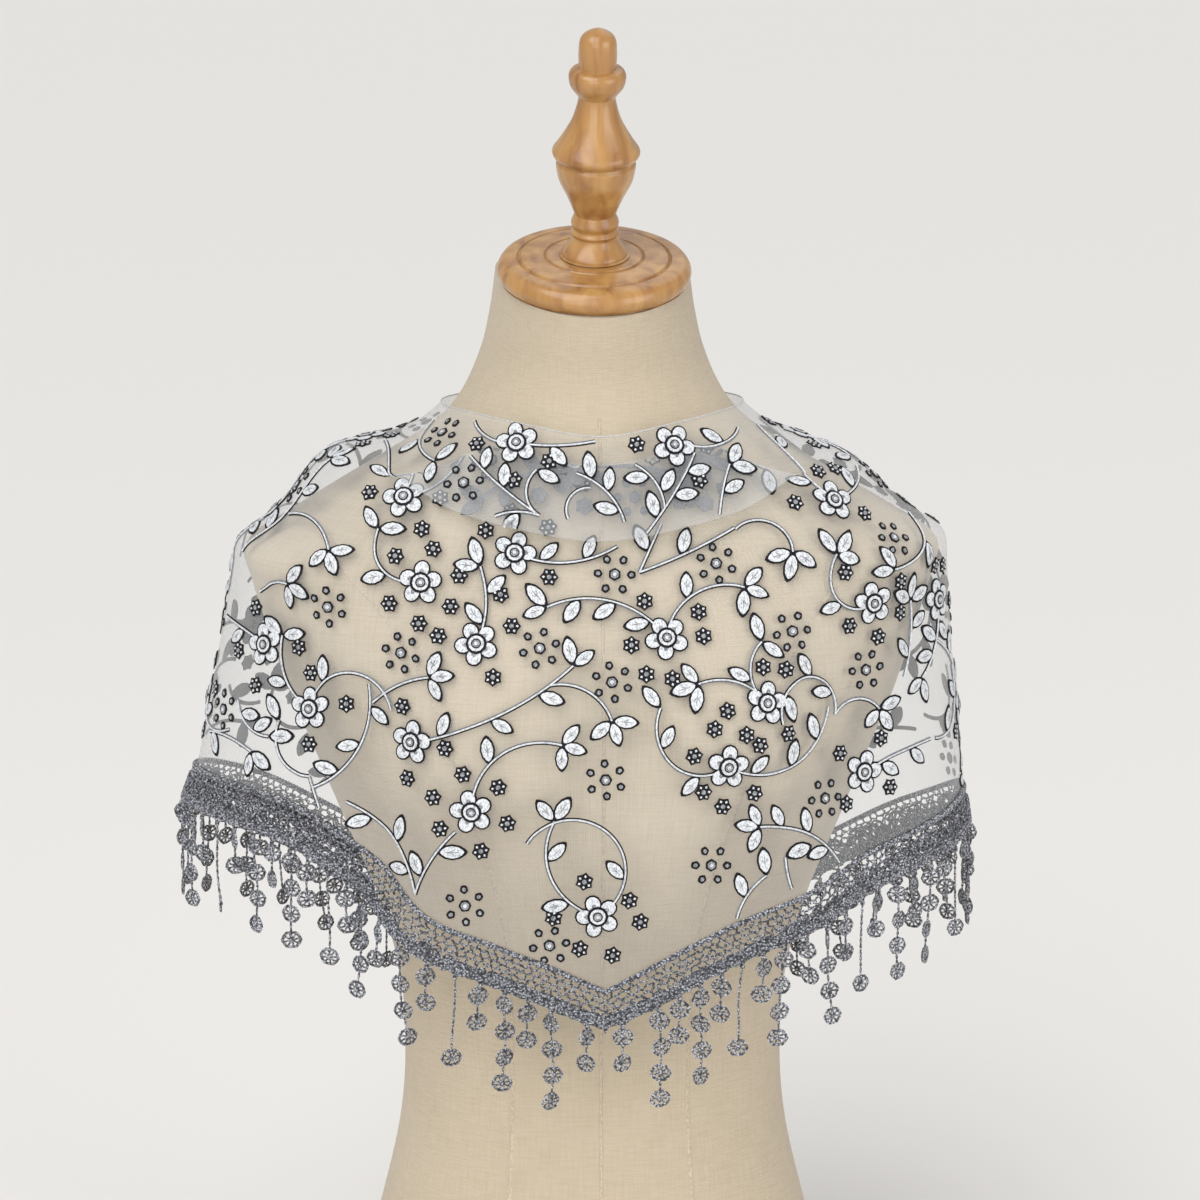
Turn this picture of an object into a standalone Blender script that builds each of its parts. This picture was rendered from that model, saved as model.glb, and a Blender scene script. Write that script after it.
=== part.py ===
"""A sheer lace shawl, worn point forward on a limbless linen dress form with a turned wood cap and finial.

Metres, +Z up, the front toward -Y. The form's flat base stands on z = 0 at the origin.
Angles go round the form's upright axis, in degrees: 0 at the front centre, plus toward +X, 180 at the back.
"""

from bisect import bisect_right
from collections import namedtuple
from functools import lru_cache
from math import cos, exp, hypot, pi, radians, sin, tan

import bmesh
import bpy
from mathutils import Vector

# Driving dimensions
NET_THICKNESS = 0.001
LACE_THICKNESS = 0.002
SEAM_GAP = 0.0004  # between pieces that are sewn together, or that stand on each other
FORM_SIDES = 36
HALF_COLUMNS = 40  # the net's columns on each side, evenly spaced along its hem
BACK_LAP = 5.5  # degrees by which each long edge passes the back centre
LAP_LIFT = 0.005  # how far the left tail lies outside the right one
MERIDIAN_SAMPLES, HEM_SAMPLES = 90, 240
WELD = 1e-6  # points this close become one
SHARP_ANGLE = 40.0

# The form: rings from the base up. A ring leans forward by its own angle, and its fullness squares its corners.
FormRing = namedtuple("FormRing", "height half_width front back lean fullness")
FORM = (
    FormRing(0.0000, 0.1560, 0.1080, 0.1280, 0.0, 2.1),
    FormRing(0.0520, 0.1430, 0.1010, 0.1220, 0.0, 2.1),
    FormRing(0.1040, 0.1290, 0.0950, 0.1100, 0.0, 2.1),
    FormRing(0.1560, 0.1170, 0.0890, 0.0970, 0.0, 2.1),
    FormRing(0.2000, 0.1130, 0.0870, 0.0900, 0.0, 2.1),
    FormRing(0.2500, 0.1155, 0.0910, 0.0880, 0.0, 2.1),
    FormRing(0.3000, 0.1280, 0.0980, 0.0930, 0.0, 2.1),
    FormRing(0.3450, 0.1460, 0.1070, 0.1010, 0.0, 2.1),
    FormRing(0.3900, 0.1640, 0.1130, 0.1080, 0.0, 2.1),
    FormRing(0.4300, 0.1800, 0.1130, 0.1130, 0.0, 2.15),
    FormRing(0.4650, 0.1910, 0.1090, 0.1150, 0.0, 2.2),
    FormRing(0.4950, 0.2000, 0.1010, 0.1130, 0.0, 2.25),
    FormRing(0.5150, 0.2030, 0.0950, 0.1090, 0.0, 2.25),
    FormRing(0.5300, 0.1810, 0.0900, 0.1050, 0.0, 2.2),
    FormRing(0.5480, 0.1520, 0.0850, 0.0980, 0.0, 2.15),
    FormRing(0.5660, 0.1220, 0.0790, 0.0880, 0.0, 2.1),
    FormRing(0.5830, 0.0950, 0.0740, 0.0770, 0.0, 2.0),
    FormRing(0.6000, 0.0785, 0.0700, 0.0670, 1.5, 2.0),
    FormRing(0.6270, 0.0655, 0.0680, 0.0540, 7.0, 2.0),
    FormRing(0.6520, 0.0595, 0.0700, 0.0430, 11.5, 2.0),
    FormRing(0.6757, 0.0562, 0.0722, 0.0362, 15.5, 2.0),
)
BUST_ANGLE, BUST_HEIGHT = 34.0, 0.405
BUST_RISE, BUST_SPREAD, BUST_TALL = 0.013, 21.0, 0.055

# The wood: turned profiles, from the axis at the top, down the outside, to the axis at the bottom
TurnedPoint = namedtuple("TurnedPoint", "radius height")
CAP_SIDES, FINIAL_SIDES = 24, 16
CAP = (
    TurnedPoint(0.0000, 0.0150),
    TurnedPoint(0.0265, 0.0150),
    TurnedPoint(0.0280, 0.0138),
    TurnedPoint(0.0295, 0.0146),
    TurnedPoint(0.0420, 0.0140),
    TurnedPoint(0.0435, 0.0122),
    TurnedPoint(0.0450, 0.0132),
    TurnedPoint(0.0515, 0.0125),
    TurnedPoint(0.0550, 0.0095),
    TurnedPoint(0.0560, 0.0062),
    TurnedPoint(0.0550, 0.0022),
    TurnedPoint(0.0520, 0.0000),
    TurnedPoint(0.0000, 0.0000),
)
FINIAL = (
    TurnedPoint(0.0000, 0.1365),
    TurnedPoint(0.0067, 0.1336),
    TurnedPoint(0.0101, 0.1295),
    TurnedPoint(0.0107, 0.1135),
    TurnedPoint(0.0146, 0.1118),
    TurnedPoint(0.0163, 0.1082),
    TurnedPoint(0.0152, 0.1023),
    TurnedPoint(0.0113, 0.0969),
    TurnedPoint(0.0107, 0.0940),
    TurnedPoint(0.0141, 0.0820),
    TurnedPoint(0.0209, 0.0699),
    TurnedPoint(0.0249, 0.0639),
    TurnedPoint(0.0241, 0.0603),
    TurnedPoint(0.0216, 0.0578),
    TurnedPoint(0.0228, 0.0548),
    TurnedPoint(0.0210, 0.0457),
    TurnedPoint(0.0165, 0.0366),
    TurnedPoint(0.0120, 0.0255),
    TurnedPoint(0.0138, 0.0200),
    TurnedPoint(0.0126, 0.0163),
    TurnedPoint(0.0138, 0.0139),
    TurnedPoint(0.0126, 0.0114),
    TurnedPoint(0.0161, 0.0058),
    TurnedPoint(0.0190, 0.0018),
    TurnedPoint(0.0190, 0.0000),
    TurnedPoint(0.0000, 0.0000),
)

# The shawl's long edge round the neck, and the height at which the cloth leaves the form and hangs
NeckStation = namedtuple("NeckStation", "angle edge leaves_form")
NECK = (
    NeckStation(-30.0, 0.593, 0.415),
    NeckStation(0.0, 0.588, 0.410),
    NeckStation(30.0, 0.593, 0.415),
    NeckStation(60.0, 0.5955, 0.465),
    NeckStation(90.0, 0.595, 0.512),
    NeckStation(125.0, 0.593, 0.490),
    NeckStation(180.0, 0.592, 0.470),
)
# The net's hem, on the left (-X) and on the right, from the point at the front to the tails at the back
HemStation = namedtuple("HemStation", "angle left right")
HEM = (
    HemStation(0.0, 0.279, 0.279),
    HemStation(12.0, 0.292, 0.293),
    HemStation(25.0, 0.304, 0.308),
    HemStation(40.0, 0.322, 0.324),
    HemStation(52.0, 0.350, 0.336),
    HemStation(62.0, 0.376, 0.348),
    HemStation(75.0, 0.385, 0.359),
    HemStation(92.0, 0.382, 0.364),
    HemStation(108.0, 0.364, 0.340),
    HemStation(125.0, 0.323, 0.302),
    HemStation(155.0, 0.255, 0.248),
    HemStation(180.0, 0.205, 0.205),
    HemStation(190.0, 0.187, 0.187),
)
HEM_SIDE, HEM_FRONT, HEM_BACK = 0.2200, 0.1280, 0.1350
LEFT_SPREAD = 1.06  # the left side hangs this much wider

# One deep swag fold across the chest: the cloth runs down, turns up behind itself and runs down again.
# At the sides the same cloth lies open. Down is measured along the form, lift out from it.
FoldStep = namedtuple("FoldStep", "front_down front_lift side_down side_lift")
SWAG = (
    FoldStep(0.000, 0.0095, 0.000, 0.0036),
    FoldStep(0.030, 0.0118, 0.016, 0.0036),
    FoldStep(0.053, 0.0106, 0.032, 0.0033),
    FoldStep(0.060, 0.0080, 0.048, 0.0029),
    FoldStep(0.052, 0.0060, 0.063, 0.0024),
    FoldStep(0.034, 0.0050, 0.078, 0.0019),
    FoldStep(0.018, 0.0039, 0.093, 0.0015),
    FoldStep(0.017, 0.0026, 0.108, 0.0011),
    FoldStep(0.034, 0.0012, 0.123, 0.0012),
    FoldStep(0.060, 0.0005, 0.138, 0.0014),
    FoldStep(0.086, 0.0002, 0.150, 0.0012),
)
ROWS_BELOW_SWAG = 7
ROW_SPREAD = 1.25  # the rows below the swag lie farther apart toward the hem
SWAG_FULL_TO, SWAG_GONE_BY = 42.0, 84.0
REST_LIFT = 0.0026  # the cloth's inner face above the form where it lies on it

# Soft folds: over each shoulder, a puff of slack cloth, and below it flutes that deepen toward the hem
PUFF_ANGLE, PUFF_SPREAD = 86.0, 30.0
PUFF_DOWN, PUFF_TALL = 0.074, 0.034
PUFF_LEFT, PUFF_RIGHT = 0.017, 0.010
Flute = namedtuple("Flute", "angle out spread")
FLUTES = (
    Flute(-150.0, 0.008, 10.0),
    Flute(-128.0, -0.007, 9.0),
    Flute(-104.0, 0.006, 9.0),
    Flute(-52.0, -0.009, 6.0),
    Flute(-38.0, 0.005, 7.0),
    Flute(44.0, 0.004, 8.0),
    Flute(60.0, -0.005, 7.0),
    Flute(102.0, 0.006, 9.0),
    Flute(126.0, -0.007, 9.0),
    Flute(148.0, 0.008, 10.0),
)

# The lace border, by distance from the net's hem: heading, row of large cells, net, dense ridge
BORDER_ROWS = (0.0006, 0.0038, 0.0112, 0.0185, 0.0236)
CELL_ROW = 1  # the row of faces that holds the cut cells
RIDGE_ROW, RIDGE_RISE = 3, 0.0010
SCALLOP_DIP = 0.0015
MITRE = 1.2  # columns at the front point over which the border turns straight down
LEFT_FLARE, RIGHT_FLARE = 0.38, 0.18  # how far the border leans out at the sides

# The fringe: a narrow strip under the ridge, and strands of flat round medallions on a thread
STRIP_TOP, STRIP_TALL = 0.0241, 0.0020
STRAND_ROOT = 0.0036
Strand = namedtuple("Strand", "first medallions")
SHORT, LONG, DROP = Strand(0.0062, 2), Strand(0.0062, 4), Strand(0.0480, 1)
STRANDS_IN_TURN = (SHORT, LONG, SHORT, LONG, SHORT, DROP)
MEDALLION_PITCH, MEDALLION_HALF, MEDALLION_HALF_THICK = 0.0155, 0.0057, 0.0011
THREAD_HALF = 0.0009
STRANDS_A_SIDE = 46
FRONT_STRANDS = 23  # of each side's strands, those on its front strip


def smooth_column(rows, place, column):
    """One column's value at a place between rows, on a smooth curve through all of them."""
    places = [row[0] for row in rows]
    values = [getattr(row, column) for row in rows]
    place = min(max(place, places[0]), places[-1])
    low = min(max(bisect_right(places, place) - 1, 0), len(rows) - 2)
    span = places[low + 1] - places[low]

    def slope(i):
        before, after = max(i - 1, 0), min(i + 1, len(rows) - 1)
        return (values[after] - values[before]) / (places[after] - places[before])

    t = (place - places[low]) / span
    rise = values[low + 1] - values[low]
    start, end = slope(low) * span, slope(low + 1) * span
    return values[low] + t * start + t * t * (3 * rise - 2 * start - end) + t**3 * (start + end - 2 * rise)


def smoothstep(value, low, high):
    """0 below low, 1 above high and a soft rise between them."""
    t = min(max((value - low) / (high - low), 0.0), 1.0)
    return t * t * (3 - 2 * t)


def bell(distance, spread):
    """1 at no distance, falling away as a soft bump."""
    return exp(-((distance / spread) ** 2))


def oval_radius(angle, half_width, front, back, fullness):
    """Distance from the axis to an oval of four quarters, in one direction."""
    across, along = abs(sin(radians(angle))), cos(radians(angle))
    depth = front if along > 0 else back
    total = (across / half_width) ** fullness + (abs(along) / depth) ** fullness
    return total ** (-1 / fullness)


def bust(angle, height, bridged):
    """How far the bust stands out. Cloth bridges the hollow between its two sides."""
    off_centre = abs(angle) - BUST_ANGLE
    if bridged:
        off_centre = max(off_centre, 0.0)
    return BUST_RISE * bell(off_centre, BUST_SPREAD) * bell(height - BUST_HEIGHT, BUST_TALL)


def form_radius(angle, height, bridged=False):
    """Distance from the axis to the form's skin at one height."""
    sizes = [smooth_column(FORM, height, name) for name in ("half_width", "front", "back", "fullness")]
    return oval_radius(angle, *sizes) + bust(angle, height, bridged)


def grid_mesh(name, columns, rows, place):
    """An open grid of faces whose corners are moved to place(column, row), and an empty mesh to hold it."""
    mesh = bpy.data.meshes.new(name)
    bm = bmesh.new()
    bmesh.ops.create_grid(bm, x_segments=columns, y_segments=rows, size=1)
    for vert in bm.verts:
        column = round((vert.co.x + 1) / 2 * columns)
        row = round((vert.co.y + 1) / 2 * rows)
        vert.co = place(column, row)
    return bm, mesh


def make_material(name, colour, roughness):
    """A Principled material of one colour."""
    made = bpy.data.materials.new(name)
    made.use_nodes = True
    shader = made.node_tree.nodes["Principled BSDF"]
    shader.inputs["Base Color"].default_value = (*colour, 1.0)
    shader.inputs["Roughness"].default_value = roughness
    return made


def add_object(name, mesh, finish, collection):
    """A named object with one material, shaded smooth but for its sharp edges."""
    mesh.materials.append(finish)
    mesh.shade_smooth()
    mesh.set_sharp_from_angle(angle=radians(SHARP_ANGLE))
    made = bpy.data.objects.new(name, mesh)
    collection.objects.link(made)
    return made


def add_solidify(obj, thickness):
    """Gives an open surface a wall on its outer side."""
    wall = obj.modifiers.new("wall", "SOLIDIFY")
    wall.thickness = thickness
    wall.offset = 1.0
    wall.use_even_offset = True


def build_torso(finish, collection):
    """The limbless form: a loft through its rings, flat at the base and at the sloping neck top."""

    def place(column, row):
        ring = FORM[row]
        angle = 360.0 * column / FORM_SIDES - 180.0
        radius = oval_radius(angle, ring.half_width, ring.front, ring.back, ring.fullness)
        radius += bust(angle, ring.height, False)
        x, y = radius * sin(radians(angle)), -radius * cos(radians(angle))
        return Vector((x, y, ring.height + y * tan(radians(ring.lean))))

    bm, mesh = grid_mesh("torso", FORM_SIDES, len(FORM) - 1, place)
    bmesh.ops.remove_doubles(bm, verts=bm.verts, dist=WELD)
    bmesh.ops.holes_fill(bm, edges=bm.edges, sides=0)
    bmesh.ops.recalc_face_normals(bm, faces=bm.faces)
    bm.to_mesh(mesh)
    bm.free()
    add_object("torso", mesh, finish, collection)


def build_turned(name, profile, sides, lift, finish, collection):
    """A turned piece: its profile run round by a Screw, standing on the neck's leaning axis."""
    mesh = bpy.data.meshes.new(name)
    points = [(point.radius, 0.0, point.height) for point in profile]
    mesh.from_pydata(points, [(i, i + 1) for i in range(len(points) - 1)], [])
    made = add_object(name, mesh, finish, collection)
    turn = made.modifiers.new("turn", "SCREW")
    turn.steps = turn.render_steps = sides
    turn.angle = 2 * pi
    turn.use_merge_vertices = True
    turn.merge_threshold = 0.0001
    lean = radians(FORM[-1].lean)
    middle_y = (FORM[-1].back - FORM[-1].front) / 2
    middle = Vector((0.0, middle_y, FORM[-1].height + middle_y * tan(lean)))
    made.location = middle + lift * Vector((0.0, -sin(lean), cos(lean)))
    made.rotation_euler.x = lean


def hem_radius(angle):
    """Distance from the axis to the hanging cloth at its hem."""
    side = HEM_SIDE
    if sin(radians(angle)) < 0:
        side *= LEFT_SPREAD
    return oval_radius(angle, side, HEM_FRONT, HEM_BACK, 2.0)


def flute(angle):
    """How far the flutes push the hem out at one angle."""
    return sum(fold.out * bell(angle - fold.angle, fold.spread) for fold in FLUTES)


@lru_cache(maxsize=None)
def meridian(angle):
    """The cloth's resting line down the form at one angle, as (radius, height, distance down)."""
    size = abs(angle)
    top = smooth_column(NECK, min(size, 180.0), "edge")
    leaves = smooth_column(NECK, min(size, 180.0), "leaves_form")
    bottom = smooth_column(HEM, size, "left" if angle < 0 else "right")
    radius_leaving = form_radius(angle, leaves, bridged=True) + REST_LIFT
    radius_at_hem = hem_radius(angle)
    line, down = [], 0.0
    for i in range(MERIDIAN_SAMPLES + 1):
        height = top + (bottom - top) * i / MERIDIAN_SAMPLES
        radius = form_radius(angle, height, bridged=True) + REST_LIFT
        if height < leaves:
            share = (leaves - height) / (leaves - bottom)
            hanging = radius_leaving + (radius_at_hem - radius_leaving) * share
            radius = max(radius, hanging) + flute(angle) * share
        if line:
            down += hypot(radius - line[-1][0], height - line[-1][1])
        line.append((radius, height, down))
    return tuple(line)


def resting_point(angle, down, lift):
    """The point that far down the cloth's resting line, lifted out from it."""
    line = meridian(angle)
    reach = [sample[2] for sample in line]
    low = min(max(bisect_right(reach, down) - 1, 0), len(line) - 2)
    first, second = line[low], line[low + 1]
    t = (down - first[2]) / (second[2] - first[2])
    across, drop = second[0] - first[0], second[1] - first[1]
    length = hypot(across, drop)
    lift += shoulder_puff(angle, down)
    lift += LAP_LIFT * smoothstep(-angle, 180.0 - 2 * BACK_LAP, 180.0 - BACK_LAP)
    radius = first[0] + t * across - lift * drop / length
    height = first[1] + t * drop + lift * across / length
    return Vector((radius * sin(radians(angle)), -radius * cos(radians(angle)), height))


def shoulder_puff(angle, down):
    """How far slack cloth stands off the shoulder."""
    rise = PUFF_LEFT if angle < 0 else PUFF_RIGHT
    return rise * bell(abs(angle) - PUFF_ANGLE, PUFF_SPREAD) * bell(down - PUFF_DOWN, PUFF_TALL)


def last_net_row():
    """The number of the net's lowest row."""
    return len(SWAG) - 1 + ROWS_BELOW_SWAG


def net_point(angle, row):
    """The net's inner face at one angle and one row, the swag fold's rows first."""
    line_length = meridian(angle)[-1][2]
    open_share = smoothstep(abs(angle), SWAG_FULL_TO, SWAG_GONE_BY)
    step = SWAG[min(row, len(SWAG) - 1)]
    down = step.front_down + (step.side_down - step.front_down) * open_share
    lift = step.front_lift + (step.side_lift - step.front_lift) * open_share
    if row >= len(SWAG):
        share = ((row - len(SWAG) + 1) / ROWS_BELOW_SWAG) ** ROW_SPREAD
        down += (line_length - down) * share
        lift *= 1 - share
    return resting_point(angle, down, lift)


@lru_cache(maxsize=None)
def column_angles(side):
    """The angles of the net's columns on one side (-1 left, +1 right), evenly spaced along its hem."""
    angles = [side * (180.0 + BACK_LAP) * i / HEM_SAMPLES for i in range(HEM_SAMPLES + 1)]
    points = [net_point(angle, last_net_row()) for angle in angles]
    reach = [0.0]
    for i in range(HEM_SAMPLES):
        reach.append(reach[-1] + (points[i + 1] - points[i]).length)
    placed = []
    for column in range(HALF_COLUMNS + 1):
        target = reach[-1] * column / HALF_COLUMNS
        low = min(max(bisect_right(reach, target) - 1, 0), HEM_SAMPLES - 1)
        t = (target - reach[low]) / (reach[low + 1] - reach[low])
        placed.append(angles[low] + (angles[low + 1] - angles[low]) * t)
    return tuple(placed)


def build_net(finish, collection):
    """The tulle triangle, open at the back where its two long edges lap."""
    rows = last_net_row()

    def place(column, row):
        off_centre = HALF_COLUMNS - column
        side = -1 if off_centre < 0 else 1
        return net_point(column_angles(side)[abs(off_centre)], rows - row)

    bm, mesh = grid_mesh("shawl_net", 2 * HALF_COLUMNS, rows, place)
    bm.to_mesh(mesh)
    bm.free()
    made = add_object("shawl_net", mesh, finish, collection)
    add_solidify(made, NET_THICKNESS)


@lru_cache(maxsize=None)
def hem_corner(side, column):
    """The net's lowest point in one column."""
    return net_point(column_angles(side)[column], last_net_row())


def border_frame(side, place):
    """At a place along the hem, counted in columns: its point, the border's way down, and outward."""
    low = min(int(place), HALF_COLUMNS - 1)
    t = place - low
    point = hem_corner(side, low).lerp(hem_corner(side, low + 1), t)

    def run_at(column):
        return hem_corner(side, min(column + 1, HALF_COLUMNS)) - hem_corner(side, max(column - 1, 0))

    run = run_at(low).normalized().lerp(run_at(low + 1).normalized(), t).normalized()
    angles = column_angles(side)
    angle = radians(angles[low] + (angles[low + 1] - angles[low]) * t)
    hang = Vector((0.0, 0.0, -1.0))
    down = (hang - run * hang.dot(run)).normalized()
    down = hang.lerp(down, smoothstep(place, 0.0, MITRE))
    out = Vector((sin(angle), -cos(angle), 0.0))
    out = (out - run * out.dot(run)).normalized()
    lean = (LEFT_FLARE if side < 0 else RIGHT_FLARE) * sin(angle) ** 2
    down = (down + out * lean).normalized()
    out = (out - down * out.dot(down)).normalized()
    return point, down, out


def build_border(side, name, finish, collection):
    """One short side's lace: a wall with a cut cell in each repeat, a raised ridge and a scalloped edge."""
    columns = 2 * HALF_COLUMNS
    rows = len(BORDER_ROWS) - 1
    start = SEAM_GAP / (hem_corner(side, 1) - hem_corner(side, 0)).length

    def place(column, row):
        point, down, out = border_frame(side, max(column / 2, start))
        row = rows - row
        reach = BORDER_ROWS[row]
        if row == rows and column % 2 == 0:
            reach -= SCALLOP_DIP
        rise = RIDGE_RISE if row == RIDGE_ROW else 0.0
        return point + down * reach + out * rise

    bm, mesh = grid_mesh(name, columns, rows, place)
    cells = [face for face in bm.faces if is_cut_cell(face, columns)]
    bmesh.ops.delete(bm, geom=cells, context="FACES")
    if side > 0:
        bmesh.ops.reverse_faces(bm, faces=bm.faces)
    bm.to_mesh(mesh)
    bm.free()
    made = add_object(name, mesh, finish, collection)
    add_solidify(made, LACE_THICKNESS)


def is_cut_cell(face, columns):
    """True for one face of each repeat, in the row of cells."""
    column, row_from_bottom = face.index % columns, face.index // columns
    return column % 2 == 1 and len(BORDER_ROWS) - 2 - row_from_bottom == CELL_ROW


def fringe_section(side, place):
    """The strip's four corners at one place along the hem: inner top, outer top, outer and inner bottom."""
    point, down, out = border_frame(side, place)
    top, bottom = point + down * STRIP_TOP, point + down * (STRIP_TOP + STRIP_TALL)
    wall = out * LACE_THICKNESS
    return [top, top + wall, bottom + wall, bottom]


def add_strand(bm, corners, kind):
    """A strand hanging from four corners of the strip's underside, in place of the face between them."""
    middle = sum((vert.co for vert in corners), Vector()) / 4
    across = corners[1].co - corners[0].co
    across.z = 0.0
    across.normalize()
    through = Vector((-across.y, across.x, 0.0))
    if through.dot(corners[2].co - corners[1].co) < 0:
        through.negate()
    rings = []
    if kind.first > MEDALLION_PITCH:
        rings.append((kind.first - MEDALLION_PITCH / 2, THREAD_HALF, THREAD_HALF))
    for i in range(kind.medallions):
        depth = kind.first + i * MEDALLION_PITCH
        gap = 0.37 if i == kind.medallions - 1 else 0.5
        rings.append((depth, MEDALLION_HALF, MEDALLION_HALF_THICK))
        rings.append((depth + MEDALLION_PITCH * gap, THREAD_HALF, THREAD_HALF))
    above = corners
    for depth, half, half_thick in rings:
        centre = middle - Vector((0.0, 0.0, depth))
        ring = [
            bm.verts.new(centre + across * half * u + through * half_thick * v)
            for u, v in ((-1, -1), (1, -1), (1, 1), (-1, 1))
        ]
        for i in range(4):
            bm.faces.new((above[i], above[(i + 1) % 4], ring[(i + 1) % 4], ring[i]))
        above = ring
    bm.faces.new(above)


def build_fringe(name, side, first, last, finish, collection):
    """A run of strands on one backing strip."""
    bm = bmesh.new()
    sections, roots = [], []
    pitch = HALF_COLUMNS / STRANDS_A_SIDE
    half_root = STRAND_ROOT / 2 / (hem_corner(side, 1) - hem_corner(side, 0)).length
    for strand in range(first, last):
        for edge in (-half_root, half_root):
            corners = fringe_section(side, (strand + 0.5) * pitch + edge)
            sections.append([bm.verts.new(corner) for corner in corners])
        roots.append(len(sections) - 2)
    bm.faces.new(sections[0])
    bm.faces.new(sections[-1])
    for i in range(len(sections) - 1):
        near, far = sections[i], sections[i + 1]
        for k in range(4):
            corners = (near[k], far[k], far[(k + 1) % 4], near[(k + 1) % 4])
            if k == 2 and i in roots:
                strand = first + roots.index(i)
                add_strand(bm, corners, STRANDS_IN_TURN[strand % len(STRANDS_IN_TURN)])
            else:
                bm.faces.new(corners)
    bmesh.ops.recalc_face_normals(bm, faces=bm.faces)
    mesh = bpy.data.meshes.new(name)
    bm.to_mesh(mesh)
    bm.free()
    add_object(name, mesh, finish, collection)


def main():
    """Builds the form and the shawl in one collection."""
    for old in list(bpy.data.objects):
        bpy.data.objects.remove(old)
    collection = bpy.data.collections.new("lace_shawl_on_dress_form")
    bpy.context.scene.collection.children.link(collection)
    linen = make_material("linen", (0.68, 0.60, 0.47), 0.85)
    wood = make_material("wood", (0.62, 0.33, 0.13), 0.35)
    tulle = make_material("tulle", (0.72, 0.73, 0.75), 0.6)
    lace = make_material("lace", (0.15, 0.155, 0.18), 0.7)
    build_torso(linen, collection)
    build_turned("neck_cap", CAP, CAP_SIDES, SEAM_GAP, wood, collection)
    build_turned("finial", FINIAL, FINIAL_SIDES, CAP[0].height + 2 * SEAM_GAP, wood, collection)
    build_net(tulle, collection)
    for side, word in ((-1, "left"), (1, "right")):
        build_border(side, f"border_{word}", lace, collection)
        build_fringe(f"fringe_front_{word}", side, 0, FRONT_STRANDS, lace, collection)
        build_fringe(f"fringe_back_{word}", side, FRONT_STRANDS, STRANDS_A_SIDE, lace, collection)


main()
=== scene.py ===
"""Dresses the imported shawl: sheer embroidered net, corded lace and crochet fringe, on a linen dress form.

Metres, +Z up, the front toward -Y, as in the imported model. Angles go round the form's upright axis in
degrees: 0 at the front centre, plus toward +X, 180 at the back. A place on the cloth is (angle, down, lift):
degrees, metres down the cloth from its neck edge, and metres out from the cloth's inner face.
"""

import logging
import math
import random
from collections.abc import Callable, Sequence
from dataclasses import dataclass, field
from enum import Enum
from typing import NamedTuple

import bmesh
import bpy
import numpy as np
from mathutils import Matrix, Vector


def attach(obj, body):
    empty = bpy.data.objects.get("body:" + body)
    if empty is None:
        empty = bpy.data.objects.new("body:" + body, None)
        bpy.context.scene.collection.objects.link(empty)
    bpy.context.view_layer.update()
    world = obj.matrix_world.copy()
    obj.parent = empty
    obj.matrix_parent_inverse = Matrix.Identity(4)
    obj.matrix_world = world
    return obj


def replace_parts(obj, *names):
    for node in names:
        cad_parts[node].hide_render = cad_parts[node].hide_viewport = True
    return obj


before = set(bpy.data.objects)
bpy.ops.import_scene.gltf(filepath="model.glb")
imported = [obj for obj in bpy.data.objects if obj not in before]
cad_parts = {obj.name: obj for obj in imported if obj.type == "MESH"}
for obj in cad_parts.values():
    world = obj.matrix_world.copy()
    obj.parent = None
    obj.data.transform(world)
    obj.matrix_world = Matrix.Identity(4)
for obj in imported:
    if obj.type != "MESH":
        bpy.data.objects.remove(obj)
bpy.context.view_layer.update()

LOG = logging.getLogger("shawl")
BODY = "root"
WELD = 1e-6
NOISE_DETAIL = 3.0
FINE_RELIEF = 0.0004
LAST_PHASE = 6.28
FULL_TURN = {"cent": (0, 0, 0), "axis": (0, 0, 1), "angle": 2 * math.pi, "use_merge": True}

Tone = tuple[float, float, float]
Stops = Sequence[tuple[float, Tone]]
Rise = tuple[float, float]
Rises = tuple[Rise, ...]


class FormRing(NamedTuple):
    """One ring of the form: its height, its half sizes, how far it leans forward and how square it is."""

    height: float
    half_width: float
    front: float
    back: float
    lean: float
    fullness: float


class NeckStation(NamedTuple):
    """At one angle: the height of the shawl's long edge, and where the cloth leaves the form."""

    angle: float
    edge: float
    leaves_form: float


class HemStation(NamedTuple):
    """The net's hem at one angle, on the left and on the right."""

    angle: float
    left: float
    right: float


class FoldStep(NamedTuple):
    """One step of the swag fold: how far down and how far out, at the front and where the cloth lies open."""

    place: float
    front_down: float
    front_lift: float
    side_down: float
    side_lift: float


class Flute(NamedTuple):
    """A soft fold that deepens toward the hem."""

    angle: float
    out: float
    spread: float


class Crease(NamedTuple):
    """A fine crease in the cloth, from one place to another, up or down from the cloth."""

    angle: float
    down: float
    end_angle: float
    end_down: float
    rise: float
    width: float


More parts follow.
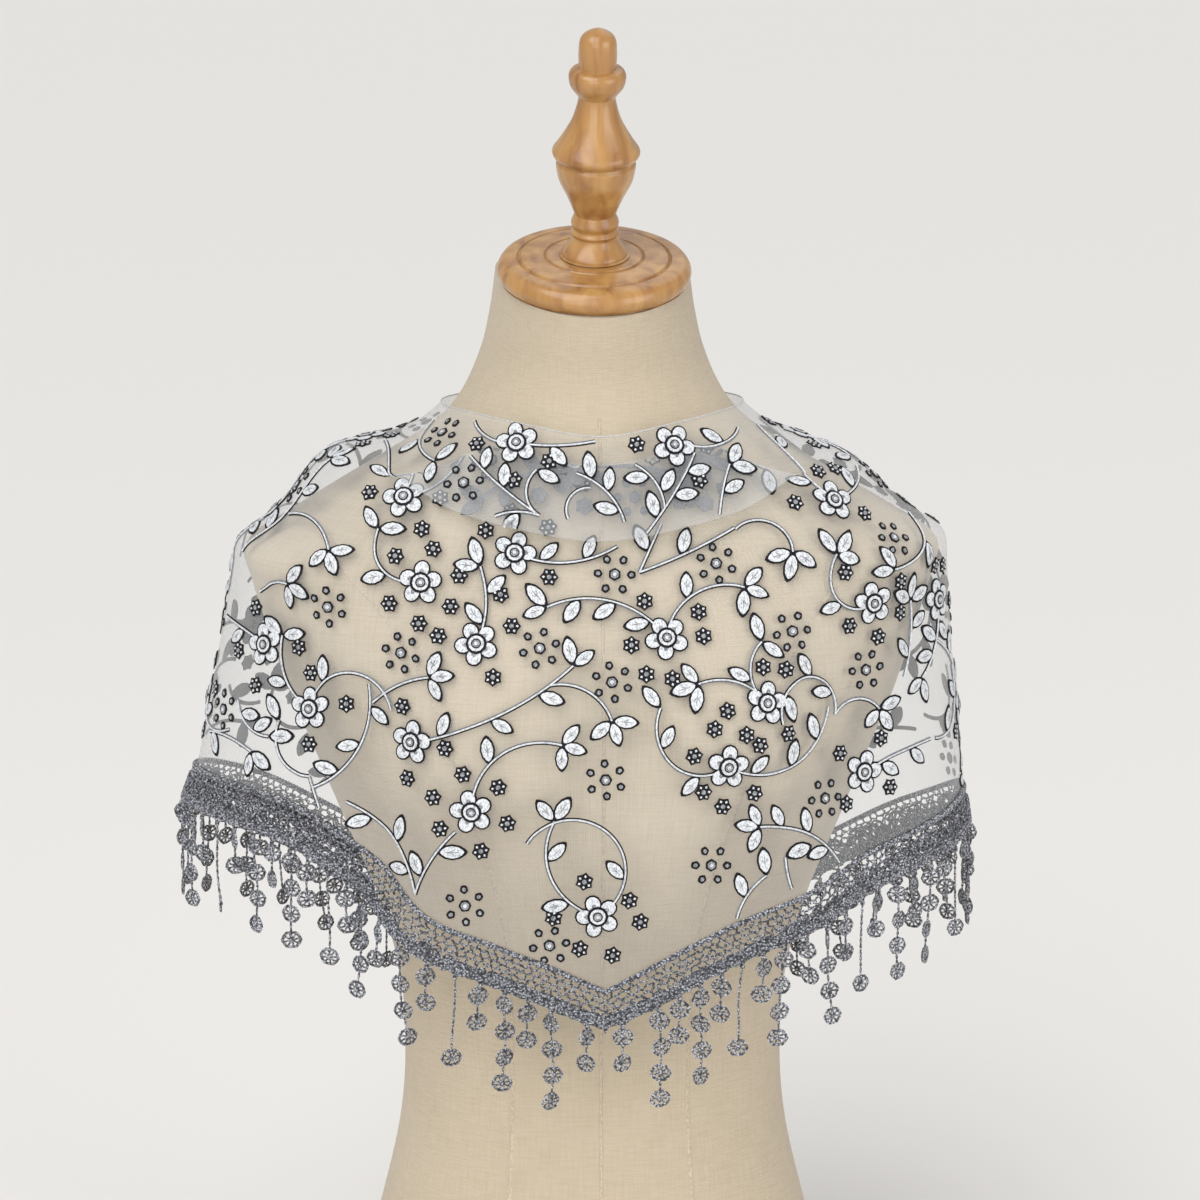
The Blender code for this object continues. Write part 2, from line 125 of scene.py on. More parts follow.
FORM = (
    FormRing(0.0000, 0.1560, 0.1080, 0.1280, 0.0, 2.1),
    FormRing(0.0520, 0.1430, 0.1010, 0.1220, 0.0, 2.1),
    FormRing(0.1040, 0.1290, 0.0950, 0.1100, 0.0, 2.1),
    FormRing(0.1560, 0.1170, 0.0890, 0.0970, 0.0, 2.1),
    FormRing(0.2000, 0.1130, 0.0870, 0.0900, 0.0, 2.1),
    FormRing(0.2500, 0.1155, 0.0910, 0.0880, 0.0, 2.1),
    FormRing(0.3000, 0.1280, 0.0980, 0.0930, 0.0, 2.1),
    FormRing(0.3450, 0.1460, 0.1070, 0.1010, 0.0, 2.1),
    FormRing(0.3900, 0.1640, 0.1130, 0.1080, 0.0, 2.1),
    FormRing(0.4300, 0.1800, 0.1130, 0.1130, 0.0, 2.15),
    FormRing(0.4650, 0.1910, 0.1090, 0.1150, 0.0, 2.2),
    FormRing(0.4950, 0.2000, 0.1010, 0.1130, 0.0, 2.25),
    FormRing(0.5150, 0.2030, 0.0950, 0.1090, 0.0, 2.25),
    FormRing(0.5300, 0.1810, 0.0900, 0.1050, 0.0, 2.2),
    FormRing(0.5480, 0.1520, 0.0850, 0.0980, 0.0, 2.15),
    FormRing(0.5660, 0.1220, 0.0790, 0.0880, 0.0, 2.1),
    FormRing(0.5830, 0.0950, 0.0740, 0.0770, 0.0, 2.0),
    FormRing(0.6000, 0.0785, 0.0700, 0.0670, 1.5, 2.0),
    FormRing(0.6270, 0.0655, 0.0680, 0.0540, 7.0, 2.0),
    FormRing(0.6520, 0.0595, 0.0700, 0.0430, 11.5, 2.0),
    FormRing(0.6757, 0.0562, 0.0722, 0.0362, 15.5, 2.0),
)
NECK = (
    NeckStation(-30.0, 0.593, 0.415),
    NeckStation(0.0, 0.588, 0.410),
    NeckStation(30.0, 0.593, 0.415),
    NeckStation(60.0, 0.5955, 0.465),
    NeckStation(90.0, 0.595, 0.512),
    NeckStation(125.0, 0.593, 0.490),
    NeckStation(180.0, 0.592, 0.470),
)
HEM = (
    HemStation(0.0, 0.279, 0.279),
    HemStation(12.0, 0.292, 0.293),
    HemStation(25.0, 0.304, 0.308),
    HemStation(40.0, 0.322, 0.324),
    HemStation(52.0, 0.350, 0.336),
    HemStation(62.0, 0.376, 0.348),
    HemStation(75.0, 0.385, 0.359),
    HemStation(92.0, 0.382, 0.364),
    HemStation(108.0, 0.364, 0.340),
    HemStation(125.0, 0.323, 0.302),
    HemStation(155.0, 0.255, 0.248),
    HemStation(180.0, 0.205, 0.205),
    HemStation(190.0, 0.187, 0.187),
)
SWAG = (
    FoldStep(0, 0.000, 0.0095, 0.000, 0.0036),
    FoldStep(1, 0.030, 0.0118, 0.016, 0.0036),
    FoldStep(2, 0.053, 0.0106, 0.032, 0.0033),
    FoldStep(3, 0.060, 0.0080, 0.048, 0.0029),
    FoldStep(4, 0.052, 0.0060, 0.063, 0.0024),
    FoldStep(5, 0.034, 0.0050, 0.078, 0.0019),
    FoldStep(6, 0.018, 0.0039, 0.093, 0.0015),
    FoldStep(7, 0.017, 0.0026, 0.108, 0.0011),
    FoldStep(8, 0.034, 0.0012, 0.123, 0.0012),
    FoldStep(9, 0.060, 0.0005, 0.138, 0.0014),
    FoldStep(10, 0.086, 0.0002, 0.150, 0.0012),
)
FLUTES = (
    Flute(-150.0, 0.008, 10.0),
    Flute(-128.0, -0.007, 9.0),
    Flute(-104.0, 0.006, 9.0),
    Flute(-52.0, -0.009, 6.0),
    Flute(-38.0, 0.005, 7.0),
    Flute(44.0, 0.004, 8.0),
    Flute(60.0, -0.005, 7.0),
    Flute(102.0, 0.006, 9.0),
    Flute(126.0, -0.007, 9.0),
    Flute(148.0, 0.008, 10.0),
)
CREASES = (
    Crease(-62.0, 0.050, -30.0, 0.200, 0.0022, 0.008),
    Crease(-70.0, 0.080, -58.0, 0.230, 0.0026, 0.009),
    Crease(-80.0, 0.060, -92.0, 0.200, 0.0024, 0.010),
    Crease(-20.0, 0.170, -8.0, 0.330, 0.0014, 0.007),
    Crease(16.0, 0.165, 26.0, 0.300, 0.0015, 0.007),
    Crease(58.0, 0.060, 38.0, 0.230, 0.0022, 0.008),
    Crease(70.0, 0.090, 66.0, 0.240, 0.0026, 0.009),
    Crease(86.0, 0.070, 96.0, 0.210, 0.0022, 0.010),
    Crease(-112.0, 0.080, -136.0, 0.300, 0.0026, 0.010),
    Crease(-148.0, 0.120, -166.0, 0.330, 0.0022, 0.009),
    Crease(114.0, 0.090, 134.0, 0.290, 0.0026, 0.010),
    Crease(150.0, 0.130, 164.0, 0.340, 0.0022, 0.009),
)


def smooth_rows(rows: Sequence[tuple[float, ...]], places: np.ndarray) -> np.ndarray:
    """Finds every column of a table at places between its rows, on smooth curves through them.

    Args:
        rows: a table whose first column rises.
        places: values of that first column.

    Returns:
        The other columns there, along a last axis.
    """
    table = np.array(rows, float)
    keys, values = table[:, 0], table[:, 1:]
    places = np.clip(places, keys[0], keys[-1])
    low = np.clip(np.searchsorted(keys, places, side="right") - 1, 0, len(keys) - 2)
    index = np.arange(len(keys))
    before, after = np.maximum(index - 1, 0), np.minimum(index + 1, len(keys) - 1)
    slopes = (values[after] - values[before]) / (keys[after] - keys[before])[:, None]
    span = (keys[low + 1] - keys[low])[..., None]
    t = (places - keys[low])[..., None] / span
    rise = values[low + 1] - values[low]
    start, end = slopes[low] * span, slopes[low + 1] * span
    return values[low] + t * start + t**2 * (3 * rise - 2 * start - end) + t**3 * (start + end - 2 * rise)


def smoothstep(value: np.ndarray | float, low: float, high: float) -> np.ndarray:
    """Gives 0 below low, 1 above high and a soft rise between them."""
    t = np.clip((value - low) / (high - low), 0.0, 1.0)
    return t * t * (3 - 2 * t)


def bell(distance: np.ndarray | float, spread: float) -> np.ndarray:
    """Gives 1 at no distance, falling away as a soft bump."""
    return np.exp(-((distance / spread) ** 2))


@dataclass(frozen=True)
class FormShape:
    """The dress form's skin: ovals at rising heights, with a bust."""

    bust_angle: float = 34.0
    bust_height: float = 0.405
    bust_rise: float = 0.013
    bust_spread: float = 21.0
    bust_tall: float = 0.055

    def oval(self, angle: np.ndarray, sizes: np.ndarray) -> np.ndarray:
        """Gives the distance from the axis to an oval of four quarters.

        Args:
            angle: directions, in degrees.
            sizes: half width, front, back and fullness, along a last axis.

        Returns:
            The distances.
        """
        across, along = np.abs(np.sin(np.radians(angle))), np.cos(np.radians(angle))
        depth = np.where(along > 0, sizes[..., 1], sizes[..., 2])
        fullness = sizes[..., 3]
        total = (across / sizes[..., 0]) ** fullness + (np.abs(along) / depth) ** fullness
        return total ** (-1 / fullness)

    def radius(self, angle: np.ndarray, height: np.ndarray, bridged: bool) -> np.ndarray:
        """Gives the distance from the axis to the skin.

        Args:
            angle: directions, in degrees.
            height: heights above the base.
            bridged: True for cloth, which spans the hollow of the bust.

        Returns:
            The distances.
        """
        sizes = smooth_rows(FORM, height)[..., [0, 1, 2, 4]]
        off_centre = np.abs(angle) - self.bust_angle
        if bridged:
            off_centre = np.maximum(off_centre, 0.0)
        bust = bell(off_centre, self.bust_spread) * bell(height - self.bust_height, self.bust_tall)
        return self.oval(angle, sizes) + self.bust_rise * bust


@dataclass
class Drape:
    """The shawl's cloth, laid on the form: it turns (angle, down, lift) into points."""

    form: FormShape
    back_lap: float = 5.5
    lap_lift: float = 0.005
    hem_side: float = 0.2200
    hem_front: float = 0.1280
    hem_back: float = 0.1350
    left_spread: float = 1.06
    rows_below_swag: int = 7
    row_spread: float = 1.25
    swag_full_to: float = 42.0
    swag_gone_by: float = 84.0
    rest_lift: float = 0.0026
    puff_angle: float = 86.0
    puff_spread: float = 30.0
    puff_down: float = 0.074
    puff_tall: float = 0.034
    puff_left: float = 0.017
    puff_right: float = 0.010
    column_step: float = 0.5
    down_step: float = 0.0015
    steps_a_row: int = 10
    meridian_samples: int = 181
    degree_metres: float = 0.0025
    crease_spread: float = 0.36
    least_width: float = 0.0006

    def __post_init__(self) -> None:
        """Works out the whole cloth once, on a fine grid."""
        half = 180.0 + self.back_lap
        self.angles = np.linspace(-half, half, round(2 * half / self.column_step) + 1)
        self.lay_meridians()
        swag_end = len(SWAG) - 1
        self.last_row = swag_end + self.rows_below_swag
        self.rows = np.linspace(0.0, self.last_row, self.last_row * self.steps_a_row + 1)
        self.grid = self.lay_rows(self.rows, swag_end)
        self.resample()

    def lay_meridians(self) -> None:
        """Lays the resting line down the form at every angle: radius, height and distance down."""
        size = np.minimum(np.abs(self.angles), 190.0)
        neck = smooth_rows(NECK, np.minimum(size, 180.0))
        hem = smooth_rows(HEM, size)
        top, leaves = neck[:, :1], neck[:, 1:2]
        bottom = np.where(self.angles < 0, hem[:, 0], hem[:, 1])[:, None]
        angle = self.angles[:, None]
        share_down = np.linspace(0.0, 1.0, self.meridian_samples)[None, :]
        height = top + (bottom - top) * share_down
        radius = self.form.radius(angle + 0 * height, height, True) + self.rest_lift
        leaving = self.form.radius(angle, leaves, True) + self.rest_lift
        side = self.hem_side * np.where(angle < 0, self.left_spread, 1.0)
        sizes = np.stack(np.broadcast_arrays(side, self.hem_front, self.hem_back, 2.0), axis=-1)
        at_hem = self.form.oval(angle, sizes)
        flute = sum(fold.out * bell(angle - fold.angle, fold.spread) for fold in FLUTES)
        share = np.clip((leaves - height) / (leaves - bottom), 0.0, 1.0)
        hanging = np.maximum(radius, leaving + (at_hem - leaving) * share) + flute * share
        radius = np.where(height < leaves, hanging, radius)
        steps = np.hypot(np.diff(radius, axis=1), np.diff(height, axis=1))
        reach = np.concatenate([np.zeros((len(self.angles), 1)), np.cumsum(steps, axis=1)], axis=1)
        self.meridians = radius, height, reach

    def lay_rows(self, rows: np.ndarray, swag_end: int) -> np.ndarray:
        """Lays the cloth's inner face on the resting lines.

        Args:
            rows: places between the cloth's rows, the swag fold's first.
            swag_end: the swag fold's last row.

        Returns:
            Points by angle and row.
        """
        radius, height, reach = self.meridians
        open_share = smoothstep(np.abs(self.angles), self.swag_full_to, self.swag_gone_by)[:, None]
        fold = smooth_rows(SWAG, rows)
        down = fold[:, 0] + (fold[:, 2] - fold[:, 0]) * open_share
        lift = fold[:, 1] + (fold[:, 3] - fold[:, 1]) * open_share
        share = (np.clip((rows - swag_end) / self.rows_below_swag, 0.0, 1.0) ** self.row_spread)[None, :]
        down = down + (reach[:, -1:] - down) * share
        lift = lift * (1 - share) + self.puff(down) + self.lap()[:, None] + self.creases(down)
        points = np.empty((*down.shape, 3))
        for i, angle in enumerate(np.radians(self.angles)):
            out, up = (np.interp(down[i], reach[i], values[i]) for values in (radius, height))
            run_out, run_up = np.gradient(radius[i], reach[i]), np.gradient(height[i], reach[i])
            slope_out = np.interp(down[i], reach[i], run_out)
            slope_up = np.interp(down[i], reach[i], run_up)
            out, up = out - lift[i] * slope_up, up + lift[i] * slope_out
            points[i] = np.stack([out * np.sin(angle), -out * np.cos(angle), up], axis=-1)
        return points

    def puff(self, down: np.ndarray) -> np.ndarray:
        """Gives how far slack cloth stands off each shoulder."""
        rise = np.where(self.angles < 0, self.puff_left, self.puff_right)
        around = rise * bell(np.abs(self.angles) - self.puff_angle, self.puff_spread)
        return around[:, None] * bell(down - self.puff_down, self.puff_tall)

    def lap(self) -> np.ndarray:
        """Gives how far the left tail lies outside the right one."""
        return self.lap_lift * smoothstep(-self.angles, 180.0 - 4 * self.back_lap, 180.0 - self.back_lap)

    def creases(self, down: np.ndarray) -> np.ndarray:
        """Gives the fine creases' rise over the cloth."""
        metres = self.degree_metres
        total = np.zeros_like(down)
        for crease in CREASES:
            across, along = (crease.end_angle - crease.angle) * metres, crease.end_down - crease.down
            x, y = (self.angles[:, None] - crease.angle) * metres, down - crease.down
            place = (x * across + y * along) / (across**2 + along**2)
            beside = (x * along - y * across) / math.hypot(across, along)
            total += crease.rise * bell(beside, crease.width) * bell(place - 0.5, self.crease_spread)
        return total

    def resample(self) -> None:
        """Spaces the cloth's points evenly down each column, with the way out and the metres a radian."""
        steps = np.linalg.norm(np.diff(self.grid, axis=1), axis=2)
        reach = np.concatenate([np.zeros((len(self.angles), 1)), np.cumsum(steps, axis=1)], axis=1)
        self.lengths = reach[:, -1]
        downs = np.arange(0.0, self.lengths.max() + 2 * self.down_step, self.down_step)
        self.even = np.empty((len(self.angles), len(downs), 3))
        for i in range(len(self.angles)):
            end = self.grid[i, -1] - self.grid[i, -2]
            end /= np.linalg.norm(end)
            beyond = np.maximum(downs - self.lengths[i], 0.0)[:, None] * end
            columns = [np.interp(downs, reach[i], self.grid[i, :, k]) for k in range(3)]
            self.even[i] = np.stack(columns, axis=-1) + beyond
        along = np.gradient(self.even, axis=1)
        round_form = np.gradient(self.even, axis=0) / self.column_step
        out = np.cross(along, round_form)
        self.outward = out / np.maximum(np.linalg.norm(out, axis=2, keepdims=True), 1e-12)
        along /= np.maximum(np.linalg.norm(along, axis=2, keepdims=True), 1e-12)
        skew = (round_form * along).sum(axis=2)
        across = np.linalg.norm(round_form - along * skew[..., None], axis=2)
        self.metric = np.stack([np.maximum(across, self.least_width), skew], axis=-1)

    def look_up(self, table: np.ndarray, angle: np.ndarray, down: np.ndarray) -> np.ndarray:
        """Reads one of the even tables between its points."""
        column = np.clip((angle - self.angles[0]) / self.column_step, 0, len(self.angles) - 1.001)
        step = np.clip(down / self.down_step, 0, table.shape[1] - 1.001)
        i, j = column.astype(int), step.astype(int)
        s, t = (column - i)[..., None], (step - j)[..., None]
        low = table[i, j] * (1 - t) + table[i, j + 1] * t
        high = table[i + 1, j] * (1 - t) + table[i + 1, j + 1] * t
        return low * (1 - s) + high * s

    def points(self, cloth: np.ndarray) -> np.ndarray:
        """Turns rows of (angle, down, lift) into points."""
        angle, down = cloth[:, 0], cloth[:, 1]
        out = self.look_up(self.outward, angle, down)
        out = out / np.linalg.norm(out, axis=1, keepdims=True)
        return self.look_up(self.even, angle, down) + out * cloth[:, 2:3]

    def length(self, angle: np.ndarray | float) -> np.ndarray:
        """Gives the cloth's length from neck edge to hem."""
        return np.interp(angle, self.angles, self.lengths)

    def walk(self, cloth: np.ndarray, x: np.ndarray, y: np.ndarray, steps: int = 5) -> np.ndarray:
        """Moves rows of (angle, down, ...) over the cloth by real distances.

        Args:
            cloth: the rows.
            x: metres to the right, square to the way down.
            y: metres down.
            steps: how many short steps each move is made in.

        Returns:
            The moved rows.
        """
        moved = cloth.copy()
        for _ in range(steps):
            metric = self.look_up(self.metric, moved[:, 0], moved[:, 1])
            turn = x / steps / metric[:, 0]
            moved[:, 0] += turn
            moved[:, 1] += y / steps - turn * metric[:, 1]
        return moved


class Flower(NamedTuple):
    """A flower's place, its turn, and how many rosettes lie round it."""

    angle: float
    down: float
    turn: float
    rosettes: int


class Cluster(NamedTuple):
    """The place of a ring of small rings."""

    angle: float
    down: float


class Vine(NamedTuple):
    """A stem: its start, heading (0 right, 90 down), length, total turn, leaves, and a leafy tip or not."""

    angle: float
    down: float
    heading: float
    length: float
    turn: float
    leaves: int
    leafy_tip: bool


FLOWERS = (
    Flower(-31.0, 0.012, 34.0, 6),
    Flower(27.0, 0.013, 20.0, 5),
    Flower(-58.0, 0.095, 6.0, 5),
    Flower(66.0, 0.080, 16.0, 5),
    Flower(-28.0, 0.165, 64.0, 5),
    Flower(-48.0, 0.185, 45.0, 6),
    Flower(65.0, 0.145, 47.0, 5),
    Flower(18.0, 0.210, 29.0, 6),
    Flower(-34.0, 0.220, 19.0, 4),
    Flower(40.0, 0.260, 70.0, 5),
    Flower(-46.0, 0.280, 58.0, 3),
    Flower(30.0, 0.290, 62.0, 7),
    Flower(-32.0, 0.315, 40.0, 6),
    Flower(-2.0, 0.365, 34.0, 6),
    Flower(-75.0, 0.190, 31.0, 4),
    Flower(-65.0, 0.205, 43.0, 4),
    Flower(80.0, 0.175, 49.0, 5),
    Flower(61.0, 0.250, 4.0, 4),
    Flower(34.0, 0.095, 20.0, 5),
    Flower(-14.0, 0.100, 50.0, 5),
    Flower(-90.0, 0.120, 12.0, 5),
    Flower(88.0, 0.250, 60.0, 5),
    Flower(-91.0, 0.245, 25.0, 5),
    Flower(-90.0, 0.050, 10.0, 4),
    Flower(91.0, 0.040, 30.0, 4),
    Flower(96.0, 0.120, 15.0, 5),
)
CLUSTERS = (
    Cluster(-64.0, 0.145),
    Cluster(-50.0, 0.220),
    Cluster(-18.0, 0.215),
    Cluster(4.0, 0.165),
    Cluster(29.0, 0.175),
    Cluster(2.0, 0.230),
    Cluster(48.0, 0.215),
    Cluster(72.0, 0.120),
    Cluster(63.0, 0.185),
    Cluster(-23.0, 0.265),
    Cluster(0.0, 0.285),
    Cluster(-56.0, 0.250),
    Cluster(52.0, 0.300),
    Cluster(26.0, 0.345),
    Cluster(-33.0, 0.370),
    Cluster(-14.0, 0.385),
    Cluster(46.0, 0.340),
    Cluster(-82.0, 0.100),
    Cluster(-79.0, 0.240),
    Cluster(41.0, 0.030),
    Cluster(-42.0, 0.040),
    Cluster(12.0, 0.085),
    Cluster(-38.0, 0.110),
    Cluster(86.0, 0.090),
    Cluster(5.0, 0.026),
    Cluster(-62.0, 0.018),
    Cluster(104.0, 0.030),
    Cluster(-104.0, 0.030),
    Cluster(-90.0, 0.195),
    Cluster(92.0, 0.200),
    Cluster(-98.0, 0.285),
    Cluster(98.0, 0.290),
)
VINES = (
    Vine(-83.0, 0.150, -75.0, 0.075, -15.0, 2, True),
    Vine(-80.0, 0.115, -30.0, 0.050, 75.0, 0, True),
    Vine(-58.0, 0.095, -105.0, 0.070, -75.0, 1, False),
    Vine(-58.0, 0.095, -45.0, 0.055, -60.0, 0, False),
    Vine(-48.0, 0.185, 165.0, 0.050, 105.0, 1, True),
    Vine(-78.0, 0.165, -45.0, 0.025, 60.0, 0, True),
    Vine(-65.0, 0.205, -165.0, 0.050, 75.0, 1, True),
    Vine(-65.0, 0.205, -90.0, 0.070, 165.0, 2, False),
    Vine(-56.0, 0.215, 75.0, 0.075, 75.0, 3, False),
    Vine(-55.0, 0.230, -45.0, 0.040, 30.0, 0, True),
    Vine(-63.0, 0.245, 165.0, 0.045, 120.0, 0, True),
    Vine(-63.0, 0.245, 60.0, 0.020, 0.0, 2, False),
    Vine(-34.0, 0.220, -75.0, 0.045, -45.0, 2, True),
    Vine(18.0, 0.210, -120.0, 0.075, -90.0, 3, True),
    Vine(-46.0, 0.280, -15.0, 0.105, -30.0, 3, True),
    Vine(-15.0, 0.235, -15.0, 0.045, 90.0, 0, True),
    Vine(-32.0, 0.315, -90.0, 0.075, 105.0, 1, True),
    Vine(-28.0, 0.165, 15.0, 0.060, -45.0, 2, False),
    Vine(-20.0, 0.050, -150.0, 0.055, 0.0, 3, False),
    Vine(-20.0, 0.050, -165.0, 0.025, -45.0, 1, False),
    Vine(-20.0, 0.050, -150.0, 0.030, 105.0, 1, True),
    Vine(-31.0, 0.012, 165.0, 0.035, 60.0, 1, False),
    Vine(-31.0, 0.012, 0.0, 0.060, -15.0, 1, False),
    Vine(-75.0, 0.190, -165.0, 0.045, -15.0, 1, False),
    Vine(-84.0, 0.260, -15.0, 0.045, 30.0, 0, True),
    Vine(12.0, 0.170, -60.0, 0.030, 0.0, 1, False),
    Vine(12.0, 0.170, -15.0, 0.060, 0.0, 1, False),
    Vine(42.0, 0.160, -30.0, 0.045, 150.0, 0, True),
    Vine(14.0, 0.058, -50.0, 0.055, 0.0, 3, False),
    Vine(36.0, 0.058, -75.0, 0.030, 30.0, 1, True),
    Vine(20.0, 0.046, -90.0, 0.030, -60.0, 2, False),
    Vine(18.0, 0.210, -75.0, 0.060, 105.0, 1, True),
    Vine(65.0, 0.145, 150.0, 0.055, 180.0, 1, True),
    Vine(66.0, 0.080, -105.0, 0.065, 45.0, 2, False),
    Vine(66.0, 0.080, 15.0, 0.045, -45.0, 1, False),
    Vine(40.0, 0.260, -120.0, 0.045, -75.0, 0, True),
    Vine(40.0, 0.260, -135.0, 0.040, 105.0, 1, True),
    Vine(30.0, 0.290, 150.0, 0.070, 150.0, 2, True),
    Vine(30.0, 0.290, 30.0, 0.085, -105.0, 3, False),
    Vine(56.0, 0.235, -75.0, 0.070, -210.0, 3, False),
    Vine(56.0, 0.235, -45.0, 0.035, 105.0, 0, True),
    Vine(70.0, 0.200, -60.0, 0.045, -30.0, 2, True),
    Vine(61.0, 0.250, -15.0, 0.055, 15.0, 2, False),
    Vine(76.0, 0.250, 15.0, 0.060, -135.0, 2, False),
    Vine(7.0, 0.050, -105.0, 0.040, -60.0, 3, False),
    Vine(-4.0, 0.030, 180.0, 0.025, -120.0, 0, False),
    Vine(84.0, 0.120, 135.0, 0.060, 45.0, 1, True),
    Vine(56.0, 0.014, 150.0, 0.045, 60.0, 1, False),
    Vine(-76.0, 0.012, 60.0, 0.050, -60.0, 1, True),
    Vine(86.0, 0.030, 60.0, 0.045, 75.0, 1, True),
    Vine(80.0, 0.175, 90.0, 0.050, 60.0, 2, True),
    Vine(-90.0, 0.120, 60.0, 0.060, 45.0, 2, True),
    Vine(-90.0, 0.120, -120.0, 0.045, 60.0, 1, True),
    Vine(88.0, 0.250, -105.0, 0.060, -45.0, 2, True),
    Vine(160.0, 0.125, 0.0, 0.065, -30.0, 3, True),
    Vine(-140.0, 0.135, 165.0, 0.070, 30.0, 2, True),
    Vine(142.0, 0.145, -165.0, 0.050, -45.0, 2, True),
    Vine(88.0, 0.250, 60.0, 0.050, 60.0, 2, True),
    Vine(-91.0, 0.245, 45.0, 0.055, -75.0, 2, True),
    Vine(-91.0, 0.245, -135.0, 0.050, -60.0, 2, False),
    Vine(-90.0, 0.050, 75.0, 0.040, 60.0, 1, True),
    Vine(96.0, 0.120, 60.0, 0.060, 60.0, 2, True),
    Vine(96.0, 0.120, -75.0, 0.050, -60.0, 2, False),
    Vine(-14.0, 0.100, 15.0, 0.070, -45.0, 3, True),
    Vine(-14.0, 0.100, 180.0, 0.050, 60.0, 2, True),
    Vine(34.0, 0.095, 0.0, 0.050, 45.0, 2, True),
    Vine(-78.0, 0.230, 60.0, 0.035, -75.0, 2, True),
    Vine(-43.0, 0.370, -75.0, 0.045, 30.0, 2, False),
    Vine(-43.0, 0.370, -105.0, 0.070, -60.0, 3, False),
    Vine(-27.0, 0.390, -75.0, 0.035, -15.0, 1, True),
    Vine(-2.0, 0.365, -165.0, 0.070, 105.0, 2, True),
    Vine(-2.0, 0.365, -30.0, 0.110, -210.0, 2, False),
    Vine(28.0, 0.385, -165.0, 0.080, 135.0, 3, True),
    Vine(32.0, 0.380, -75.0, 0.030, 45.0, 1, True),
    Vine(43.0, 0.370, -105.0, 0.020, 15.0, 0, True),
    Vine(54.0, 0.330, -120.0, 0.060, -60.0, 3, True),
)


class Side(Enum):
    """A side of the shawl, by the sign of its angles."""

    LEFT = -1
    RIGHT = 1

    @property
    def word(self) -> str:
        """Gives the side's name in node names."""
        return self.name.lower()


class Thread(Enum):
    """The embroidery's threads, by material slot."""

    OUTLINE = 0
    PETAL = 1
    SHADE = 2
    BACKING = 3


def link(tree: bpy.types.NodeTree, source: bpy.types.NodeSocket, target: bpy.types.NodeSocket) -> None:
    """Links two sockets."""
    tree.links.new(source, target)


def ramp(tree: bpy.types.NodeTree, stops: Stops) -> bpy.types.Node:
    """Adds a colour ramp.

    Args:
        tree: the material's nodes.
        stops: places and colours, in order.

    Returns:
        The ramp's node.
    """
    node = tree.nodes.new("ShaderNodeValToRGB")
    elements = node.color_ramp.elements
    while len(elements) < len(stops):
        elements.new(0.5)
    for element, (place, colour) in zip(elements, stops):
        element.position = place
        element.color = (*colour, 1.0)
    return node


def principled(name: str, roughness: float) -> tuple[bpy.types.Material, bpy.types.NodeTree, bpy.types.Node]:
    """Makes a material and gives it, its nodes and its shader."""
    made = bpy.data.materials.new(name)
    made.use_nodes = True
    shader = made.node_tree.nodes["Principled BSDF"]
    shader.inputs["Roughness"].default_value = roughness
    return made, made.node_tree, shader


def mapped_noise(
    tree: bpy.types.NodeTree, place: str, stretch: tuple[float, float, float], scale: float, detail: float
) -> bpy.types.Node:
    """Adds noise that is stretched along the axes.

    Args:
        tree: the material's nodes.
        place: the coordinates' socket, Object or UV.
        stretch: how many times finer the noise is along each axis.
        scale: the noise's scale.
        detail: the noise's detail.

    Returns:
        The noise's node.
    """
    where = tree.nodes.new("ShaderNodeTexCoord")
    mapping = tree.nodes.new("ShaderNodeMapping")
    mapping.inputs["Scale"].default_value = stretch
    noise = tree.nodes.new("ShaderNodeTexNoise")
    noise.inputs["Scale"].default_value = scale
    noise.inputs["Detail"].default_value = detail
    link(tree, where.outputs[place], mapping.inputs["Vector"])
    link(tree, mapping.outputs["Vector"], noise.inputs["Vector"])
    return noise


def add_bump(
    tree: bpy.types.NodeTree,
    height: bpy.types.NodeSocket,
    shader: bpy.types.Node,
    strength: float,
    distance: float,
) -> None:
    """Bumps a shader by a height.

    Args:
        tree: the material's nodes.
        height: the socket that gives the height.
        shader: the shader that is bumped.
        strength: how strong the bump is.
        distance: the height's scale, in metres.
    """
    bump = tree.nodes.new("ShaderNodeBump")
    bump.inputs["Strength"].default_value = strength
    bump.inputs["Distance"].default_value = distance
    link(tree, height, bump.inputs["Height"])
    link(tree, bump.outputs["Normal"], shader.inputs["Normal"])


@dataclass(frozen=True)
class YarnFinish:
    """Spun thread: two tones that change along its fibres, with a soft sheen."""

    name: str
    dark: Tone
    light: Tone
    grain: float
    roughness: float = 0.55
    sheen: float = 0.25
    low: float = 0.40
    high: float = 0.62
    shine: float = 0.4
    fibre: tuple[float, float, float] = (1.0, 1.0, 0.6)
    relief: float = 0.5

    def make(self) -> bpy.types.Material:
        """Makes the material."""
        made, tree, shader = principled(self.name, self.roughness)
        shader.inputs["Specular IOR Level"].default_value = self.shine
        noise = mapped_noise(tree, "Object", self.fibre, self.grain, NOISE_DETAIL)
        tones = ramp(tree, ((self.low, self.dark), (self.high, self.light)))
        link(tree, noise.outputs["Fac"], tones.inputs["Fac"])
        link(tree, tones.outputs["Color"], shader.inputs["Base Color"])
        shader.inputs["Sheen Weight"].default_value = self.sheen
        add_bump(tree, noise.outputs["Fac"], shader, self.relief, FINE_RELIEF)
        return made


